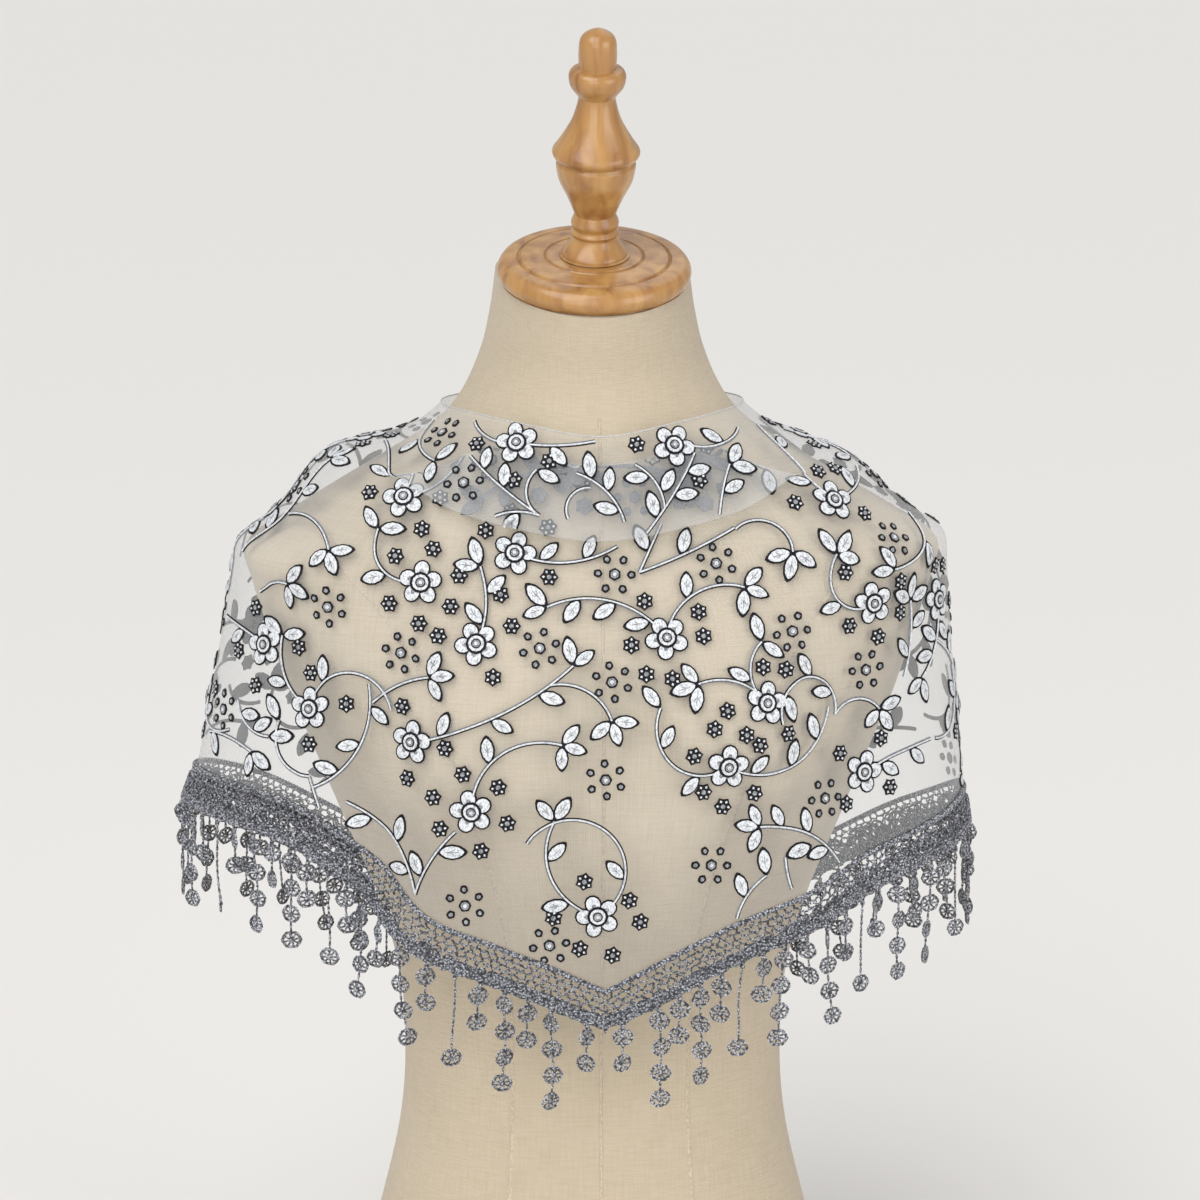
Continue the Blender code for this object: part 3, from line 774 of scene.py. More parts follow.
@dataclass(frozen=True)
class LoopShadedYarnFinish:
    """Spun yarn seen close to: a painted highlight on each loop and painted shade in the dark lines between
    them.
    """

    name: str
    # light is the painted highlight on the loops, dark the painted shade between them
    light: Tone
    middle: Tone
    dark: Tone
    loop: float = 0.0013
    roughness: float = 0.6
    sheen: float = 0.2
    relief: float = 0.6
    stops: tuple[float, float, float] = (0.20, 0.45, 0.72)

    def make(self) -> bpy.types.Material:
        """Makes the material."""
        made, tree, shader = principled(self.name, self.roughness)
        where = tree.nodes.new("ShaderNodeTexCoord")
        loops = tree.nodes.new("ShaderNodeTexVoronoi")
        loops.inputs["Scale"].default_value = 1 / self.loop
        # the ramp paints a highlight at each loop's middle and shade toward the lines between loops
        tones = ramp(tree, tuple(zip(self.stops, (self.light, self.middle, self.dark))))
        link(tree, where.outputs["Object"], loops.inputs["Vector"])
        link(tree, loops.outputs["Distance"], tones.inputs["Fac"])
        link(tree, tones.outputs["Color"], shader.inputs["Base Color"])
        shader.inputs["Sheen Weight"].default_value = self.sheen
        add_bump(tree, tones.outputs["Color"], shader, self.relief, FINE_RELIEF)
        return made


@dataclass(frozen=True)
class TulleFinish:
    """Sheer net, too fine to see its holes, that thickens where it turns edge on."""

    name: str = "sheer_tulle"
    colour: Tone = (0.62, 0.64, 0.66)
    facing: float = 0.13
    edge_on: float = 0.45
    turning: float = 0.35
    roughness: float = 0.45

    def make(self) -> bpy.types.Material:
        """Makes the material."""
        made, tree, shader = principled(self.name, self.roughness)
        shader.inputs["Base Color"].default_value = (*self.colour, 1.0)
        weight = tree.nodes.new("ShaderNodeLayerWeight")
        weight.inputs["Blend"].default_value = self.turning
        cover = tree.nodes.new("ShaderNodeMapRange")
        cover.inputs["To Min"].default_value = self.facing
        cover.inputs["To Max"].default_value = self.edge_on
        link(tree, weight.outputs["Facing"], cover.inputs["Value"])
        link(tree, cover.outputs["Result"], shader.inputs["Alpha"])
        return made


@dataclass(frozen=True)
class LinenFinish:
    """Cream linen: a plain weave with slubs, with painted shade toward the base and under the cap."""

    name: str = "cream_linen"
    cream: Tone = (0.535, 0.462, 0.355)
    slub: Tone = (0.480, 0.408, 0.300)
    thread_pitch: float = 0.0013
    slub_fine: float = 700.0
    slub_long: float = 45.0
    cloud_scale: float = 9.0
    clouds: Stops = ((0.30, (0.93, 0.92, 0.90)), (0.70, (1.0, 1.0, 1.0)))
    # painted shade by height: darker toward the base and near the top, under the cap
    heights: Stops = (
        (0.10, (0.90, 0.885, 0.865)),
        (0.36, (1.0, 1.0, 1.0)),
        (0.55, (1.0, 1.0, 1.0)),
        (0.63, (0.86, 0.85, 0.835)),
    )
    roughness: float = 0.9
    sheen: float = 0.15
    relief: float = 0.20
    relief_height: float = 0.0005
    weave_waver: float = 1.2

    def make(self) -> bpy.types.Material:
        """Makes the material."""
        made, tree, shader = principled(self.name, self.roughness)
        lying, standing = (self.slub_long, self.slub_fine, 1.0), (self.slub_fine, self.slub_long, 1.0)
        across = mapped_noise(tree, "UV", lying, 1.0, NOISE_DETAIL)
        upright = mapped_noise(tree, "UV", standing, 1.0, NOISE_DETAIL)
        cloudy = mapped_noise(tree, "Object", (1.0, 1.0, 1.0), self.cloud_scale, NOISE_DETAIL)
        slubs = self.blend(tree, across.outputs["Fac"], upright.outputs["Fac"], "MULTIPLY")
        tones = ramp(tree, ((0.10, self.slub), (0.34, self.cream)))
        link(tree, slubs, tones.inputs["Fac"])
        clouds = ramp(tree, self.clouds)
        link(tree, cloudy.outputs["Fac"], clouds.inputs["Fac"])
        clouded = self.tint(tree, tones.outputs["Color"], clouds.outputs["Color"])
        # the colour is multiplied by the painted shade by height
        link(tree, self.tint(tree, clouded, self.painted_shade_by_height(tree)), shader.inputs["Base Color"])
        shader.inputs["Sheen Weight"].default_value = self.sheen
        add_bump(tree, self.weave(tree, slubs), shader, self.relief, self.relief_height)
        return made

    def painted_shade_by_height(self, tree: bpy.types.NodeTree) -> bpy.types.NodeSocket:
        """Gives painted shade: a tone that darkens toward the base and under the cap."""
        where = tree.nodes.new("ShaderNodeTexCoord")
        split = tree.nodes.new("ShaderNodeSeparateXYZ")
        tones = ramp(tree, self.heights)
        link(tree, where.outputs["Object"], split.inputs["Vector"])
        link(tree, split.outputs["Z"], tones.inputs["Fac"])
        return tones.outputs["Color"]

    def weave(self, tree: bpy.types.NodeTree, slubs: bpy.types.NodeSocket) -> bpy.types.NodeSocket:
        """Gives the height of crossing threads and slubs."""
        where = tree.nodes.new("ShaderNodeTexCoord")
        waves = []
        for direction in ("X", "Y"):
            wave = tree.nodes.new("ShaderNodeTexWave")
            wave.bands_direction = direction
            wave.inputs["Scale"].default_value = math.pi / 10 / self.thread_pitch
            wave.inputs["Distortion"].default_value = self.weave_waver
            link(tree, where.outputs["UV"], wave.inputs["Vector"])
            waves.append(wave.outputs["Fac"])
        crossed = self.blend(tree, waves[0], waves[1], "ADD")
        return self.blend(tree, crossed, slubs, "ADD")

    def blend(
        self, tree: bpy.types.NodeTree, first: bpy.types.NodeSocket, second: bpy.types.NodeSocket, how: str
    ) -> bpy.types.NodeSocket:
        """Adds or multiplies two values."""
        node = tree.nodes.new("ShaderNodeMath")
        node.operation = how
        link(tree, first, node.inputs[0])
        link(tree, second, node.inputs[1])
        return node.outputs[0]

    def tint(
        self, tree: bpy.types.NodeTree, first: bpy.types.NodeSocket, second: bpy.types.NodeSocket
    ) -> bpy.types.NodeSocket:
        """Multiplies two colours."""
        node = tree.nodes.new("ShaderNodeMix")
        node.data_type = "RGBA"
        node.blend_type = "MULTIPLY"
        node.inputs["Factor"].default_value = 1.0
        link(tree, first, node.inputs["A"])
        link(tree, second, node.inputs["B"])
        return node.outputs["Result"]


@dataclass(frozen=True)
class WoodFinish:
    """Honey wood with a fine grain along the turning's axis, under gloss varnish."""

    name: str = "honey_wood"
    tones: Stops = (
        (0.30, (0.235, 0.100, 0.027)),
        (0.46, (0.345, 0.172, 0.051)),
        (0.66, (0.430, 0.238, 0.076)),
    )
    grain: tuple[float, float, float] = (90.0, 90.0, 6.0)
    grain_detail: float = 5.0
    grain_waver: float = 0.6
    roughness: float = 0.32
    varnish: float = 0.35
    varnish_roughness: float = 0.12
    relief: float = 0.12

    def make(self) -> bpy.types.Material:
        """Makes the material."""
        made, tree, shader = principled(self.name, self.roughness)
        grain = mapped_noise(tree, "Object", self.grain, 1.0, self.grain_detail)
        grain.inputs["Distortion"].default_value = self.grain_waver
        tones = ramp(tree, self.tones)
        link(tree, grain.outputs["Fac"], tones.inputs["Fac"])
        link(tree, tones.outputs["Color"], shader.inputs["Base Color"])
        shader.inputs["Coat Weight"].default_value = self.varnish
        shader.inputs["Coat Roughness"].default_value = self.varnish_roughness
        add_bump(tree, grain.outputs["Fac"], shader, self.relief, FINE_RELIEF)
        return made


@dataclass(frozen=True)
class BackdropFinish:
    """Plain matt studio paper."""

    name: str = "studio_paper"
    colour: Tone = (0.735, 0.722, 0.704)
    roughness: float = 0.9
    shine: float = 0.1

    def make(self) -> bpy.types.Material:
        """Makes the material."""
        made, _, shader = principled(self.name, self.roughness)
        shader.inputs["Base Color"].default_value = (*self.colour, 1.0)
        shader.inputs["Specular IOR Level"].default_value = self.shine
        return made


def show(
    name: str, bm: bmesh.types.BMesh, finishes: Sequence[bpy.types.Material], sharp: float = 50.0
) -> bpy.types.Object:
    """Turns a bmesh into a piece that rides with the form.

    Args:
        name: the piece's name.
        bm: its faces, which are freed.
        finishes: its materials, in slot order.
        sharp: the angle above which an edge stays sharp.

    Returns:
        The piece.
    """
    mesh = bpy.data.meshes.new(name)
    bm.to_mesh(mesh)
    bm.free()
    for finish in finishes:
        mesh.materials.append(finish)
    mesh.shade_smooth()
    mesh.set_sharp_from_angle(angle=math.radians(sharp))
    piece = bpy.data.objects.new(name, mesh)
    bpy.context.scene.collection.objects.link(piece)
    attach(piece, BODY)
    LOG.info("%s: %d faces", name, len(mesh.polygons))
    return piece


def grid(bm: bmesh.types.BMesh, columns: int, rows: int) -> tuple[list[bmesh.types.BMVert], np.ndarray]:
    """Adds an open grid of faces.

    Args:
        bm: where the grid goes.
        columns: faces along it.
        rows: faces across it.

    Returns:
        Its vertices, and the column and row of each.
    """
    made = bmesh.ops.create_grid(bm, x_segments=columns, y_segments=rows, size=1)["verts"]
    places = np.array([vert.co[:2] for vert in made])
    return made, np.rint((places + 1) / 2 * (columns, rows)).astype(int)


def place_verts(verts: Sequence[bmesh.types.BMVert], points: np.ndarray) -> None:
    """Moves vertices to points."""
    for vert, point in zip(verts, points):
        vert.co = point


def close_up(bm: bmesh.types.BMesh) -> None:
    """Welds seams, fills open ends and turns the faces outward."""
    bmesh.ops.remove_doubles(bm, verts=bm.verts, dist=WELD)
    ends = [edge for edge in bm.edges if edge.is_boundary]
    bmesh.ops.holes_fill(bm, edges=ends, sides=0)
    bmesh.ops.recalc_face_normals(bm, faces=bm.faces)


def add_tube(bm: bmesh.types.BMesh, path: np.ndarray, radius: np.ndarray | float, sides: int) -> None:
    """Adds a round cord along a path.

    Args:
        bm: where the cord goes.
        path: its centreline.
        radius: its radius, the same all along or one for each point.
        sides: how many sides it has.
    """
    run = np.gradient(path, axis=0)
    run /= np.linalg.norm(run, axis=1, keepdims=True)
    steady = np.array([0.0, 0.0, 1.0]) if abs(run[:, 2]).mean() < 0.7 else np.array([0.0, 1.0, 0.0])
    first = np.cross(run, steady)
    first /= np.linalg.norm(first, axis=1, keepdims=True)
    second = np.cross(run, first)
    verts, places = grid(bm, len(path) - 1, sides)
    column, turn = places[:, 0], places[:, 1] * 2 * math.pi / sides
    size = np.broadcast_to(radius, len(path))[column]
    around = np.cos(turn)[:, None] * first[column] + np.sin(turn)[:, None] * second[column]
    place_verts(verts, path[column] + size[:, None] * around)


@dataclass
class Torso:
    """The limbless form in its linen cover, with raised seams."""

    form: FormShape
    columns: int = 160
    rows: int = 150
    mean_radius: float = 0.15
    seam_half: float = 0.0011
    seam_rise: float = 0.0005
    seam_from: float = 0.004
    centre_to: float = 0.60
    princess_to: float = 0.515
    princess: tuple[tuple[float, float, float], ...] = (
        (0.02, 33.0, 36.0),
        (0.20, 33.0, 36.0),
        (0.30, 32.0, 37.0),
        (0.40, 36.0, 42.0),
        (0.46, 47.0, 52.0),
        (0.52, 66.0, 69.0),
    )

    def skin(self, angle: np.ndarray, height: np.ndarray, rise: np.ndarray | float = 0.0) -> np.ndarray:
        """Gives points on the skin, or a little out from it."""
        radius = self.form.radius(angle, height, False) + rise
        x, y = radius * np.sin(np.radians(angle)), -radius * np.cos(np.radians(angle))
        lean = smooth_rows([(ring.height, ring.lean) for ring in FORM], height)[..., 0]
        return np.stack([x, y, height + y * np.tan(np.radians(lean))], axis=-1)

    def build_body(self) -> bmesh.types.BMesh:
        """Builds the body as a fine loft with a weave map, flat at both ends."""
        bm = bmesh.new()
        verts, places = grid(bm, self.columns, self.rows)
        angle = 360.0 * places[:, 0] / self.columns - 180.0
        height = FORM[-1].height * places[:, 1] / self.rows
        place_verts(verts, self.skin(angle, height))
        weave = bm.loops.layers.uv.new("weave")
        for face in bm.faces:
            for loop in face.loops:
                i = loop.vert.index
                loop[weave].uv = (math.radians(angle[i]) * self.mean_radius, height[i])
        close_up(bm)
        return bm

    def add_seam(self, bm: bmesh.types.BMesh, angle: np.ndarray, height: np.ndarray) -> None:
        """Adds a narrow welt along the skin."""
        profile = np.array([[-1.0, -0.4], [-0.55, 1.0], [0.55, 1.0], [1.0, -0.4], [-1.0, -0.4]])
        verts, places = grid(bm, len(angle) - 1, len(profile) - 1)
        side, rise = profile[places[:, 1]].T
        column = places[:, 0]
        radius = self.form.radius(angle, height, False)[column]
        turn = np.degrees(side * self.seam_half / radius)
        place_verts(verts, self.skin(angle[column] + turn, height[column], rise * self.seam_rise))

    def build_seams(self) -> bmesh.types.BMesh:
        """Builds the centre seams and the princess seams."""
        bm = bmesh.new()
        heights = np.linspace(self.seam_from, self.centre_to, 150)
        for middle in (0.0, 180.0):
            self.add_seam(bm, np.full_like(heights, middle), heights)
        lower = np.linspace(self.seam_from, self.princess_to, 130)
        for side in (-1.0, 1.0):
            table = smooth_rows(self.princess, lower)
            self.add_seam(bm, side * table[:, 0], lower)
            self.add_seam(bm, side * (180.0 - table[:, 1]), lower)
        close_up(bm)
        return bm

    def dress(self) -> list[bpy.types.Object]:
        """Builds and dresses the form."""
        linen = LinenFinish().make()
        body = show("form_body", self.build_body(), [linen])
        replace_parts(body, "torso")
        welt = YarnFinish("seam_thread", (0.40, 0.33, 0.25), (0.52, 0.445, 0.335), 900.0)
        return [body, show("form_seams", self.build_seams(), [welt.make()])]


@dataclass
class TurnedWood:
    """A turned piece that stands on the neck's leaning axis."""

    name: str
    node: str
    profile: tuple[tuple[float, float], ...]
    lift: float
    steps: int = 72
    smoothing: int = 4
    sharp: float = 32.0

    def build(self) -> bmesh.types.BMesh:
        """Spins the smoothed profile round the axis."""
        lean = math.radians(FORM[-1].lean)
        middle_y = (FORM[-1].back - FORM[-1].front) / 2
        middle = Vector((0.0, middle_y, FORM[-1].height + middle_y * math.tan(lean)))
        axis = Vector((0.0, -math.sin(lean), math.cos(lean)))
        bm = bmesh.new()
        table = [(i, *point) for i, point in enumerate(self.profile)]
        count = (len(table) - 1) * self.smoothing + 1
        outline = smooth_rows(table, np.linspace(0, len(table) - 1, count))
        outline[:, 0] = np.maximum(outline[:, 0], 0.0)
        verts = [bm.verts.new((radius, 0.0, height)) for radius, height in outline]
        edges = [bm.edges.new(pair) for pair in zip(verts, verts[1:])]
        bmesh.ops.spin(bm, geom=[*verts, *edges], steps=self.steps, **FULL_TURN)
        bmesh.ops.remove_doubles(bm, verts=bm.verts, dist=1e-5)
        stand = Matrix.Translation(middle + axis * self.lift) @ Matrix.Rotation(lean, 4, "X")
        bmesh.ops.transform(bm, matrix=stand, verts=bm.verts)
        bmesh.ops.recalc_face_normals(bm, faces=bm.faces)
        return bm

    def dress(self, finish: bpy.types.Material) -> bpy.types.Object:
        """Builds and dresses the piece."""
        piece = show(self.name, self.build(), [finish], self.sharp)
        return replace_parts(piece, self.node)


@dataclass
class NetCloth:
    """The sheer triangle of tulle, and the rolled edge round its neckline."""

    drape: Drape
    column_skip: int = 3
    row_skip: int = 2
    edge_half: float = 0.0004

    def build(self) -> bmesh.types.BMesh:
        """Builds the cloth as one open sheet."""
        points = self.drape.grid[:: self.column_skip, :: self.row_skip]
        bm = bmesh.new()
        verts, places = grid(bm, points.shape[0] - 1, points.shape[1] - 1)
        place_verts(verts, points[places[:, 0], points.shape[1] - 1 - places[:, 1]])
        bmesh.ops.recalc_face_normals(bm, faces=bm.faces)
        front = min(bm.faces, key=lambda face: face.calc_center_median().y)
        if front.normal.y > 0:
            bmesh.ops.reverse_faces(bm, faces=bm.faces)
        return bm

    def build_edge(self) -> bmesh.types.BMesh:
        """Builds the rolled edge as a thin cord along the long edge."""
        bm = bmesh.new()
        angle = self.drape.angles[::2]
        down = np.full_like(angle, self.edge_half)
        path = self.drape.points(np.stack([angle, down, down], axis=-1))
        add_tube(bm, path, self.edge_half, 6)
        close_up(bm)
        return bm

    def dress(self, tulle: bpy.types.Material, cord: bpy.types.Material) -> list[bpy.types.Object]:
        """Builds and dresses the cloth."""
        cloth = show("tulle", self.build(), [tulle], 180.0)
        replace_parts(cloth, "shawl_net")
        return [cloth, show("neckline_edge", self.build_edge(), [cord])]


@dataclass
class Stamp:
    """A small flat shape in padded stitches, to be laid on the cloth again and again."""

    draw: Callable[[bmesh.types.BMesh], None]
    mesh: bpy.types.Mesh = field(init=False)
    points: np.ndarray = field(init=False)

    def __post_init__(self) -> None:
        """Draws the shape once."""
        bm = bmesh.new()
        self.draw(bm)
        self.mesh = bpy.data.meshes.new("stamp")
        bm.to_mesh(self.mesh)
        bm.free()
        self.points = np.array([vert.co for vert in self.mesh.vertices])


def add_pad(
    bm: bmesh.types.BMesh,
    half: tuple[float, float],
    rise: tuple[float, float],
    thread: Thread,
    centre: tuple[float, float] = (0.0, 0.0),
    turn: float = 0.0,
    sides: int = 12,
    pointed: float = 0.0,
    ragged: float = 0.0,
    domed: bool = False,
) -> None:
    """Adds one padded patch of stitches.

    Args:
        bm: where it goes.
        half: its half length and half width.
        rise: the heights of its bottom and its top.
        thread: the thread that it is worked in.
        centre: where it lies.
        turn: how far it is turned, in radians.
        sides: how many sides its outline has.
        pointed: 0 for an oval, up to 1 for a shape with two sharp ends.
        ragged: the share by which every other point stands out.
        domed: whether its top is rounded.
    """
    made = bmesh.ops.create_circle(bm, cap_ends=True, segments=sides, radius=1.0)["verts"]
    bmesh.ops.rotate(bm, verts=made, cent=(0, 0, 0), matrix=Matrix.Rotation(-math.pi / 2, 3, "Z"))
    for i, vert in enumerate(made):
        reach = 1.0 + (ragged if i % 2 else -ragged)
        beside = vert.co.y * abs(vert.co.y) ** pointed
        vert.co = (vert.co.x * reach * half[0], beside * reach * half[1], rise[0])
    bottom = made[0].link_faces[0]
    grown = bmesh.ops.extrude_face_region(bm, geom=[bottom], use_keep_orig=True)["geom"]
    lid = next(item for item in grown if isinstance(item, bmesh.types.BMFace))
    shoulder = list(lid.verts)
    bmesh.ops.translate(bm, verts=shoulder, vec=(0.0, 0.0, rise[1] - rise[0]))
    if domed:
        bmesh.ops.translate(bm, verts=shoulder, vec=(0.0, 0.0, -0.4 * (rise[1] - rise[0])))
        bmesh.ops.inset_individual(bm, faces=[lid], thickness=min(half) * 0.38, depth=0.0)
        bmesh.ops.translate(bm, verts=lid.verts, vec=(0.0, 0.0, 0.4 * (rise[1] - rise[0])))
    verts = list({*made, *shoulder, *lid.verts})
    spot = Matrix.Translation((*centre, 0.0)) @ Matrix.Rotation(turn, 4, "Z")
    bmesh.ops.transform(bm, matrix=spot, verts=verts)
    for face in {face for vert in verts for face in vert.link_faces}:
        face.material_index = thread.value
    if rise[0] <= 0.0:
        bottom.material_index = Thread.BACKING.value


@dataclass
class Stitching:
    """One embroidered piece, gathered as places on the cloth and then laid on it in one go."""

    name: str
    drape: Drape
    base_lift: float = 0.0004
    sharp: float = 60.0
    bm: bmesh.types.BMesh = field(default_factory=bmesh.new)
    cloth: list[np.ndarray] = field(default_factory=list)
    offsets: list[np.ndarray] = field(default_factory=list)

    def fits(self, angle: float, down: float, margin: float) -> bool:
        """Tells whether a place lies on the cloth."""
        return margin < down < float(self.drape.length(angle)) - margin

    def stamp(self, shape: Stamp, angle: float, down: float, turn: float, size: float = 1.0) -> None:
        """Lays one copy of a shape on the cloth.

        Args:
            shape: the shape.
            angle: where it goes.
            down: where it goes.
            turn: its turn on the cloth, in degrees.
            size: how many times its drawn size it is.
        """
        self.bm.from_mesh(shape.mesh)
        across, along = math.cos(math.radians(turn)), math.sin(math.radians(turn))
        x, y, z = shape.points.T
        place = np.broadcast_to((angle, down), (len(x), 2))
        self.cloth.append(np.column_stack([place, z + self.base_lift]))
        self.offsets.append(size * np.stack([x * across - y * along, x * along + y * across], axis=-1))

    def cord(
        self, path: np.ndarray, side: np.ndarray, half: float, rise: tuple[float, float], thread: Thread
    ) -> None:
        """Lays a couched cord along a path of (angle, down).

        Args:
            path: the cord's line on the cloth.
            side: the way square to it, in metres right and down.
            half: half its width.
            rise: the heights of its bottom and its top.
            thread: the thread that it is worked in.
        """
        low, high = rise
        profile = np.array([[-1.0, low], [-0.6, high], [0.6, high], [1.0, low], [-1.0, low]])
        before = len(self.bm.faces)
        _, places = grid(self.bm, len(path) - 1, len(profile) - 1)
        self.bm.faces.ensure_lookup_table()
        for face in self.bm.faces[before:]:
            face.material_index = thread.value
            if low <= 0.0 and abs(face.calc_center_median().y) > 0.7:
                face.material_index = Thread.BACKING.value
        beside, lift = profile[places[:, 1]].T
        column = places[:, 0]
        self.cloth.append(np.column_stack([path[column], lift + self.base_lift]))
        self.offsets.append(side[column] * (beside * half)[:, None])

    def dress(self, finishes: Sequence[bpy.types.Material]) -> bpy.types.Object:
        """Lays everything on the cloth and shows it."""
        cloth, offsets = np.concatenate(self.cloth), np.concatenate(self.offsets)
        moved = self.drape.walk(cloth, offsets[:, 0], offsets[:, 1])
        hem = self.drape.length(moved[:, 0])
        moved[:, 1] = np.clip(moved[:, 1], self.base_lift, hem + self.base_lift)
        place_verts(self.bm.verts, self.drape.points(moved))
        close_up(self.bm)
        return show(self.name, self.bm, finishes, self.sharp)


@dataclass
class Embroidery:
    """Flowers, rosettes, rings of dots and leafy stems, worked in black and white thread."""

    drape: Drape
    petal_half: tuple[float, float] = (0.0054, 0.0050)
    petal_centre: float = 0.0076
    petal_shade: tuple[float, float] = (0.0024, 0.0016)
    petal_rises: Rises = ((0.0, 0.0006), (0.0005, 0.0013), (0.0012, 0.0014))
    shade_at: float = 0.72
    eye: tuple[tuple[float, Rise, Thread], ...] = (
        (0.0060, (0.0010, 0.0016), Thread.OUTLINE),
        (0.0045, (0.0015, 0.0020), Thread.PETAL),
        (0.0029, (0.0019, 0.0022), Thread.OUTLINE),
        (0.0022, (0.0021, 0.0024), Thread.SHADE),
        (0.0010, (0.0023, 0.0026), Thread.PETAL),
    )
    flower_reach: float = 0.009
    flower_margin: float = 0.010
    leaf_length: float = 0.0165
    leaf_half: float = 0.0043
    leaf_lean: float = 52.0
    leaf_gap: float = 0.0047
    leaf_margin: float = 0.001
    leaf_rises: Rises = ((0.0, 0.0006), (0.0005, 0.0012), (0.0011, 0.0013), (0.0010, 0.00125))
    leaf_points: tuple[float, float] = (0.45, 0.40)
    leaf_tips: float = 1.9
    midrib_share: float = 0.66
    midrib_half: float = 0.00036
    vein_half: tuple[float, float] = (0.0017, 0.00026)
    vein_at: tuple[float, float] = (1.05, 0.0011)
    leaf_sizes: tuple[float, float] = (0.92, 1.08)
    tip_spreads: tuple[float, ...] = (4.0, -64.0, 70.0)
    tip_sizes: tuple[float, float] = (0.92, 1.12)
    tip_stray: float = 6.0
    stem_half: float = 0.00128
    stem_core: float = 0.00058
    stem_rises: Rises = ((0.0, 0.0005), (0.0004, 0.0010))
    stem_step: float = 0.0016
    stem_from: float = 0.003
    stem_margin: float = 0.001
    shortest_stem: int = 4
    outline: float = 0.0010
    ring_radii: tuple[float, float, float] = (0.0035, 0.0024, 0.0012)
    ring_rises: Rises = ((0.0, 0.0007), (0.0006, 0.0010), (0.0009, 0.0012))
    small_ring_at: float = 0.0095
    small_ring_half: tuple[float, float] = (0.0026, 0.0024)
    small_ring_eye: tuple[float, float] = (0.0013, 0.0012)
    small_ring_rises: Rises = ((0.0, 0.0006), (0.0005, 0.0008))
    ring_moves: tuple[float, ...] = (0.004, 0.008, 0.012)
    ring_ragged: float = 0.06
    ring_margin: float = 0.009
    ring_gap: float = 0.0122
    rosette_radii: tuple[float, float] = (0.0048, 0.0014)
    rosette_rises: Rises = ((0.0, 0.0007), (0.0006, 0.0011), (0.0006, 0.0012))
    rosette_ragged: float = 0.13
    rosette_knot: tuple[float, float] = (0.00088, 0.00074)
    rosette_knot_at: float = 0.0032
    rosette_ring: float = 0.0212
    rosette_spread: tuple[float, float] = (0.94, 1.18)
    rosette_turn: float = 36.0
    rosette_nudges: tuple[float, ...] = (0.0, 12.0, -12.0, 24.0, -24.0, 36.0, -36.0)
    rosette_reach: float = 0.0038
    rosette_margin: float = 0.004
    rosette_gap: float = 0.0062
    back_shift: float = 0.012
    side_angle: float = 87.0
    seed: int = 7

    def __post_init__(self) -> None:
        """Draws the stamps and starts the pieces."""
        self.chance = random.Random(self.seed)
        self.flower = Stamp(self.draw_flower)
        self.rosette = Stamp(self.draw_rosette)
        self.ring = Stamp(self.draw_cluster)
        self.leaf = Stamp(self.draw_leaf)
        self.taken = np.empty((0, 3))

    def draw_flower(self, bm: bmesh.types.BMesh) -> None:
        """Draws five round petals about a ringed eye."""
        white = (self.petal_half[0] - self.outline, self.petal_half[1] - self.outline)
        under, padded, on_top = self.petal_rises
        for i in range(5):
            turn = 2 * math.pi * i / 5
            centre = (self.petal_centre * math.cos(turn), self.petal_centre * math.sin(turn))
            shade = (self.shade_at * centre[0], self.shade_at * centre[1])
            add_pad(bm, self.petal_half, under, Thread.OUTLINE, centre, turn)
            add_pad(bm, white, padded, Thread.PETAL, centre, turn, domed=True)
            add_pad(bm, self.petal_shade, on_top, Thread.SHADE, shade, turn, 8, 0.5)
        for radius, rise, thread in self.eye:
            add_pad(bm, (radius, radius), rise, thread)

    def draw_rosette(self, bm: bmesh.types.BMesh) -> None:
        """Draws a ragged black rosette with six white knots about a grey one."""
        rim, eye = self.rosette_radii
        under, knots, on_top = self.rosette_rises
        add_pad(bm, (rim, rim), under, Thread.OUTLINE, ragged=self.rosette_ragged)
        for i in range(6):
            turn = 2 * math.pi * (i + 0.5) / 6
            centre = (self.rosette_knot_at * math.cos(turn), self.rosette_knot_at * math.sin(turn))
            add_pad(bm, self.rosette_knot, knots, Thread.PETAL, centre, turn, 4)
        add_pad(bm, (eye, eye), on_top, Thread.SHADE, sides=6)

    def draw_cluster(self, bm: bmesh.types.BMesh) -> None:
        """Draws a ring with six small rings round it."""
        rim, shade, eye = self.ring_radii
        under, between, on_top = self.ring_rises
        small_under, small_top = self.small_ring_rises
        add_pad(bm, (rim, rim), under, Thread.OUTLINE, ragged=self.ring_ragged)
        add_pad(bm, (shade, shade), between, Thread.SHADE, sides=10)
        add_pad(bm, (eye, eye), on_top, Thread.PETAL, sides=6)
        for i in range(6):
            turn = 2 * math.pi * i / 6
            centre = (self.small_ring_at * math.cos(turn), self.small_ring_at * math.sin(turn))
            half, ragged = self.small_ring_half, self.ring_ragged
            add_pad(bm, half, small_under, Thread.OUTLINE, centre, turn, 10, ragged=ragged)
            add_pad(bm, self.small_ring_eye, small_top, Thread.SHADE, centre, turn, 6)

    def draw_leaf(self, bm: bmesh.types.BMesh) -> None:
        """Draws a pointed leaf that starts at its stem."""
        length, half = self.leaf_length / 2, self.leaf_half
        middle, white = (length, 0.0), (length - self.leaf_tips * self.outline, half - self.outline)
        under, padded, rib, veins = self.leaf_rises
        outer, inner = self.leaf_points
        midrib = (white[0] * self.midrib_share, self.midrib_half)
        add_pad(bm, (length, half), under, Thread.OUTLINE, middle, pointed=outer)
        add_pad(bm, white, padded, Thread.PETAL, middle, pointed=inner, domed=True)
        add_pad(bm, midrib, rib, Thread.SHADE, middle, sides=4)
        for lean in (0.5, -0.5):
            vein = (length * self.vein_at[0], math.copysign(self.vein_at[1], lean))
            add_pad(bm, self.vein_half, veins, Thread.SHADE, vein, lean, 4)

